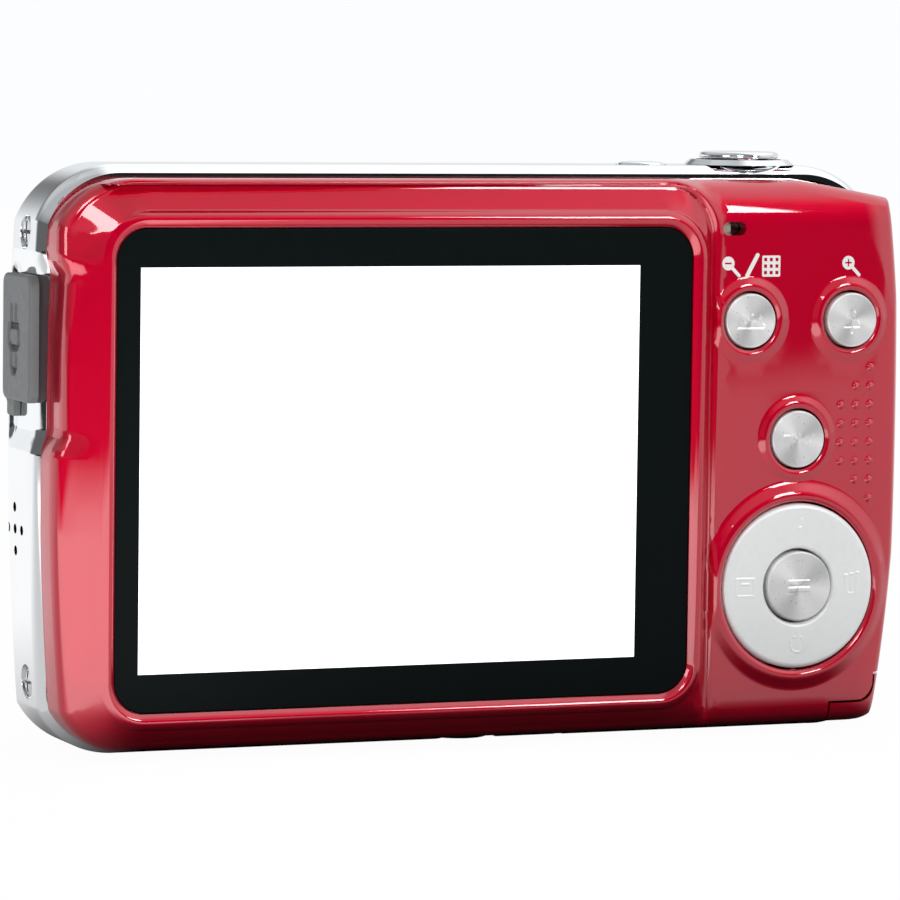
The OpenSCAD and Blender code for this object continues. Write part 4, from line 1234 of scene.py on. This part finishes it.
def make_floor():
    """A white table that ends in front of the camera, brightest in front of the object's left half, with a painted
    contact shadow under the object in what reflections see.
    """
    floor = new_object("floor", [(-1500, -1500, -0.05), (1500, -1500, -0.05), (1500, 1500, -0.05), (-1500, 1500, -0.05)],
                       [(0, 1, 2, 3)])
    mat, tree, shader = nodes_of("floor")
    shader.inputs["Base Color"].default_value = (0.03, 0.03, 0.03, 1)
    shader.inputs["Roughness"].default_value = 0.9
    shader.inputs["Specular IOR Level"].default_value = 0
    shader.inputs["Emission Color"].default_value = (1, 1, 1, 1)
    where = tree.nodes.new("ShaderNodeTexCoord")
    split = tree.nodes.new("ShaderNodeSeparateXYZ")
    tree.links.new(where.outputs["Object"], split.inputs["Vector"])
    x, y = split.outputs["X"], split.outputs["Y"]
    across = maths(tree, "ADD", y, maths(tree, "MULTIPLY", x, 0.65))
    table = fade(tree, across, -0.36, -0.26, 0.0, 0.62)
    beside = maths(tree, "ADD", x, maths(tree, "MULTIPLY", y, 0.406))
    patch = maths(tree, "MULTIPLY", fade(tree, beside, -0.04, -0.022, 1, 0), fade(tree, beside, -0.34, -0.26, 0, 1))
    patch = maths(tree, "MULTIPLY", patch, fade(tree, y, -0.4, -0.26, 0, 1.5))
    patch = maths(tree, "MULTIPLY", patch, fade(tree, y, -0.04, -0.01, 1, 0))
    light = maths(tree, "ADD", maths(tree, "ADD", table, patch), fade(tree, y, 0.0, 0.1, 0, 0.38))
    # Painted contact shadow: the floor's light in reflections is darkened under and just in front of the object.
    shadow_across = maths(tree, "MULTIPLY", fade(tree, x, -0.056, -0.036, 0, 1), fade(tree, x, 0.044, 0.056, 1, 0))
    shadow_along = maths(tree, "MULTIPLY", fade(tree, y, -0.032, -0.015, 0, 1), fade(tree, y, 0.008, 0.02, 1, 0))
    painted_contact_shadow = maths(tree, "MULTIPLY", shadow_across, shadow_along)
    light = maths(tree, "MULTIPLY", light, maths(tree, "SUBTRACT", 1.0, painted_contact_shadow))
    tree.links.new(seen_or_reflected(tree, 0.97, light), shader.inputs["Emission Strength"])
    floor.data.materials.append(mat)


def make_world():
    """A pale backdrop behind and to the right, a dark room in front, and light from overhead."""
    world = bpy.data.worlds.new("world")
    world.use_nodes = True
    tree = world.node_tree
    facing = tree.nodes.new("ShaderNodeTexCoord")
    split = tree.nodes.new("ShaderNodeSeparateXYZ")
    tree.links.new(facing.outputs["Generated"], split.inputs["Vector"])
    x, y, z = (split.outputs[k] for k in "XYZ")
    behind = fade(tree, maths(tree, "ADD", y, maths(tree, "MULTIPLY", x, 0.9)), -0.4, 0.0, 0.012, 1.0)
    belt = maths(tree, "MULTIPLY", fade(tree, z, 0.16, 0.34, 0.0, 0.85), fade(tree, x, 0.0, 0.25, 1.0, 0.0))
    low = maths(tree, "SUBTRACT", 1.0, belt)
    high = fade(tree, z, 0.35, 0.6, 0.0, 0.36)
    room = fade(tree, x, -0.4, 0.0, 0.12, 0.0)
    level = maths(tree, "ADD", maths(tree, "MULTIPLY", maths(tree, "MULTIPLY", behind, low), 0.84), maths(tree, "ADD", high, room))
    background = tree.nodes["Background"]
    background.inputs["Color"].default_value = (0.97, 0.985, 1.0, 1)
    tree.links.new(seen_or_reflected(tree, 1.0, level), background.inputs["Strength"])
    bpy.context.scene.world = world


def softbox(name, place, aim, size, power):
    data = bpy.data.lights.new(name, "AREA")
    data.shape = "RECTANGLE"
    data.size, data.size_y = size[0] * MM, size[1] * MM
    data.energy = power
    lamp = bpy.data.objects.new(name, data)
    lamp.location = Vector(place) * MM
    lamp.rotation_mode = "QUATERNION"
    lamp.rotation_quaternion = (Vector(aim) - Vector(place)).to_track_quat("-Z", "Y")
    bpy.context.scene.collection.objects.link(lamp)
    return lamp


make_camera()
make_floor()
make_world()
MIDDLE = (0, 0, 30)
softbox("key_light", (-180, -571, 418), (-40, 0, 50), (180, 160), 0.65)
softbox("right_light", (295, -545, 290), MIDDLE, (96, 215), 0.75)
softbox("top_light", (60, 120, 620), MIDDLE, (500, 260), 0.05)
softbox("left_light", (-620, -330, 260), MIDDLE, (260, 260), 0.8)
bpy.context.scene.view_settings.view_transform = "Standard"
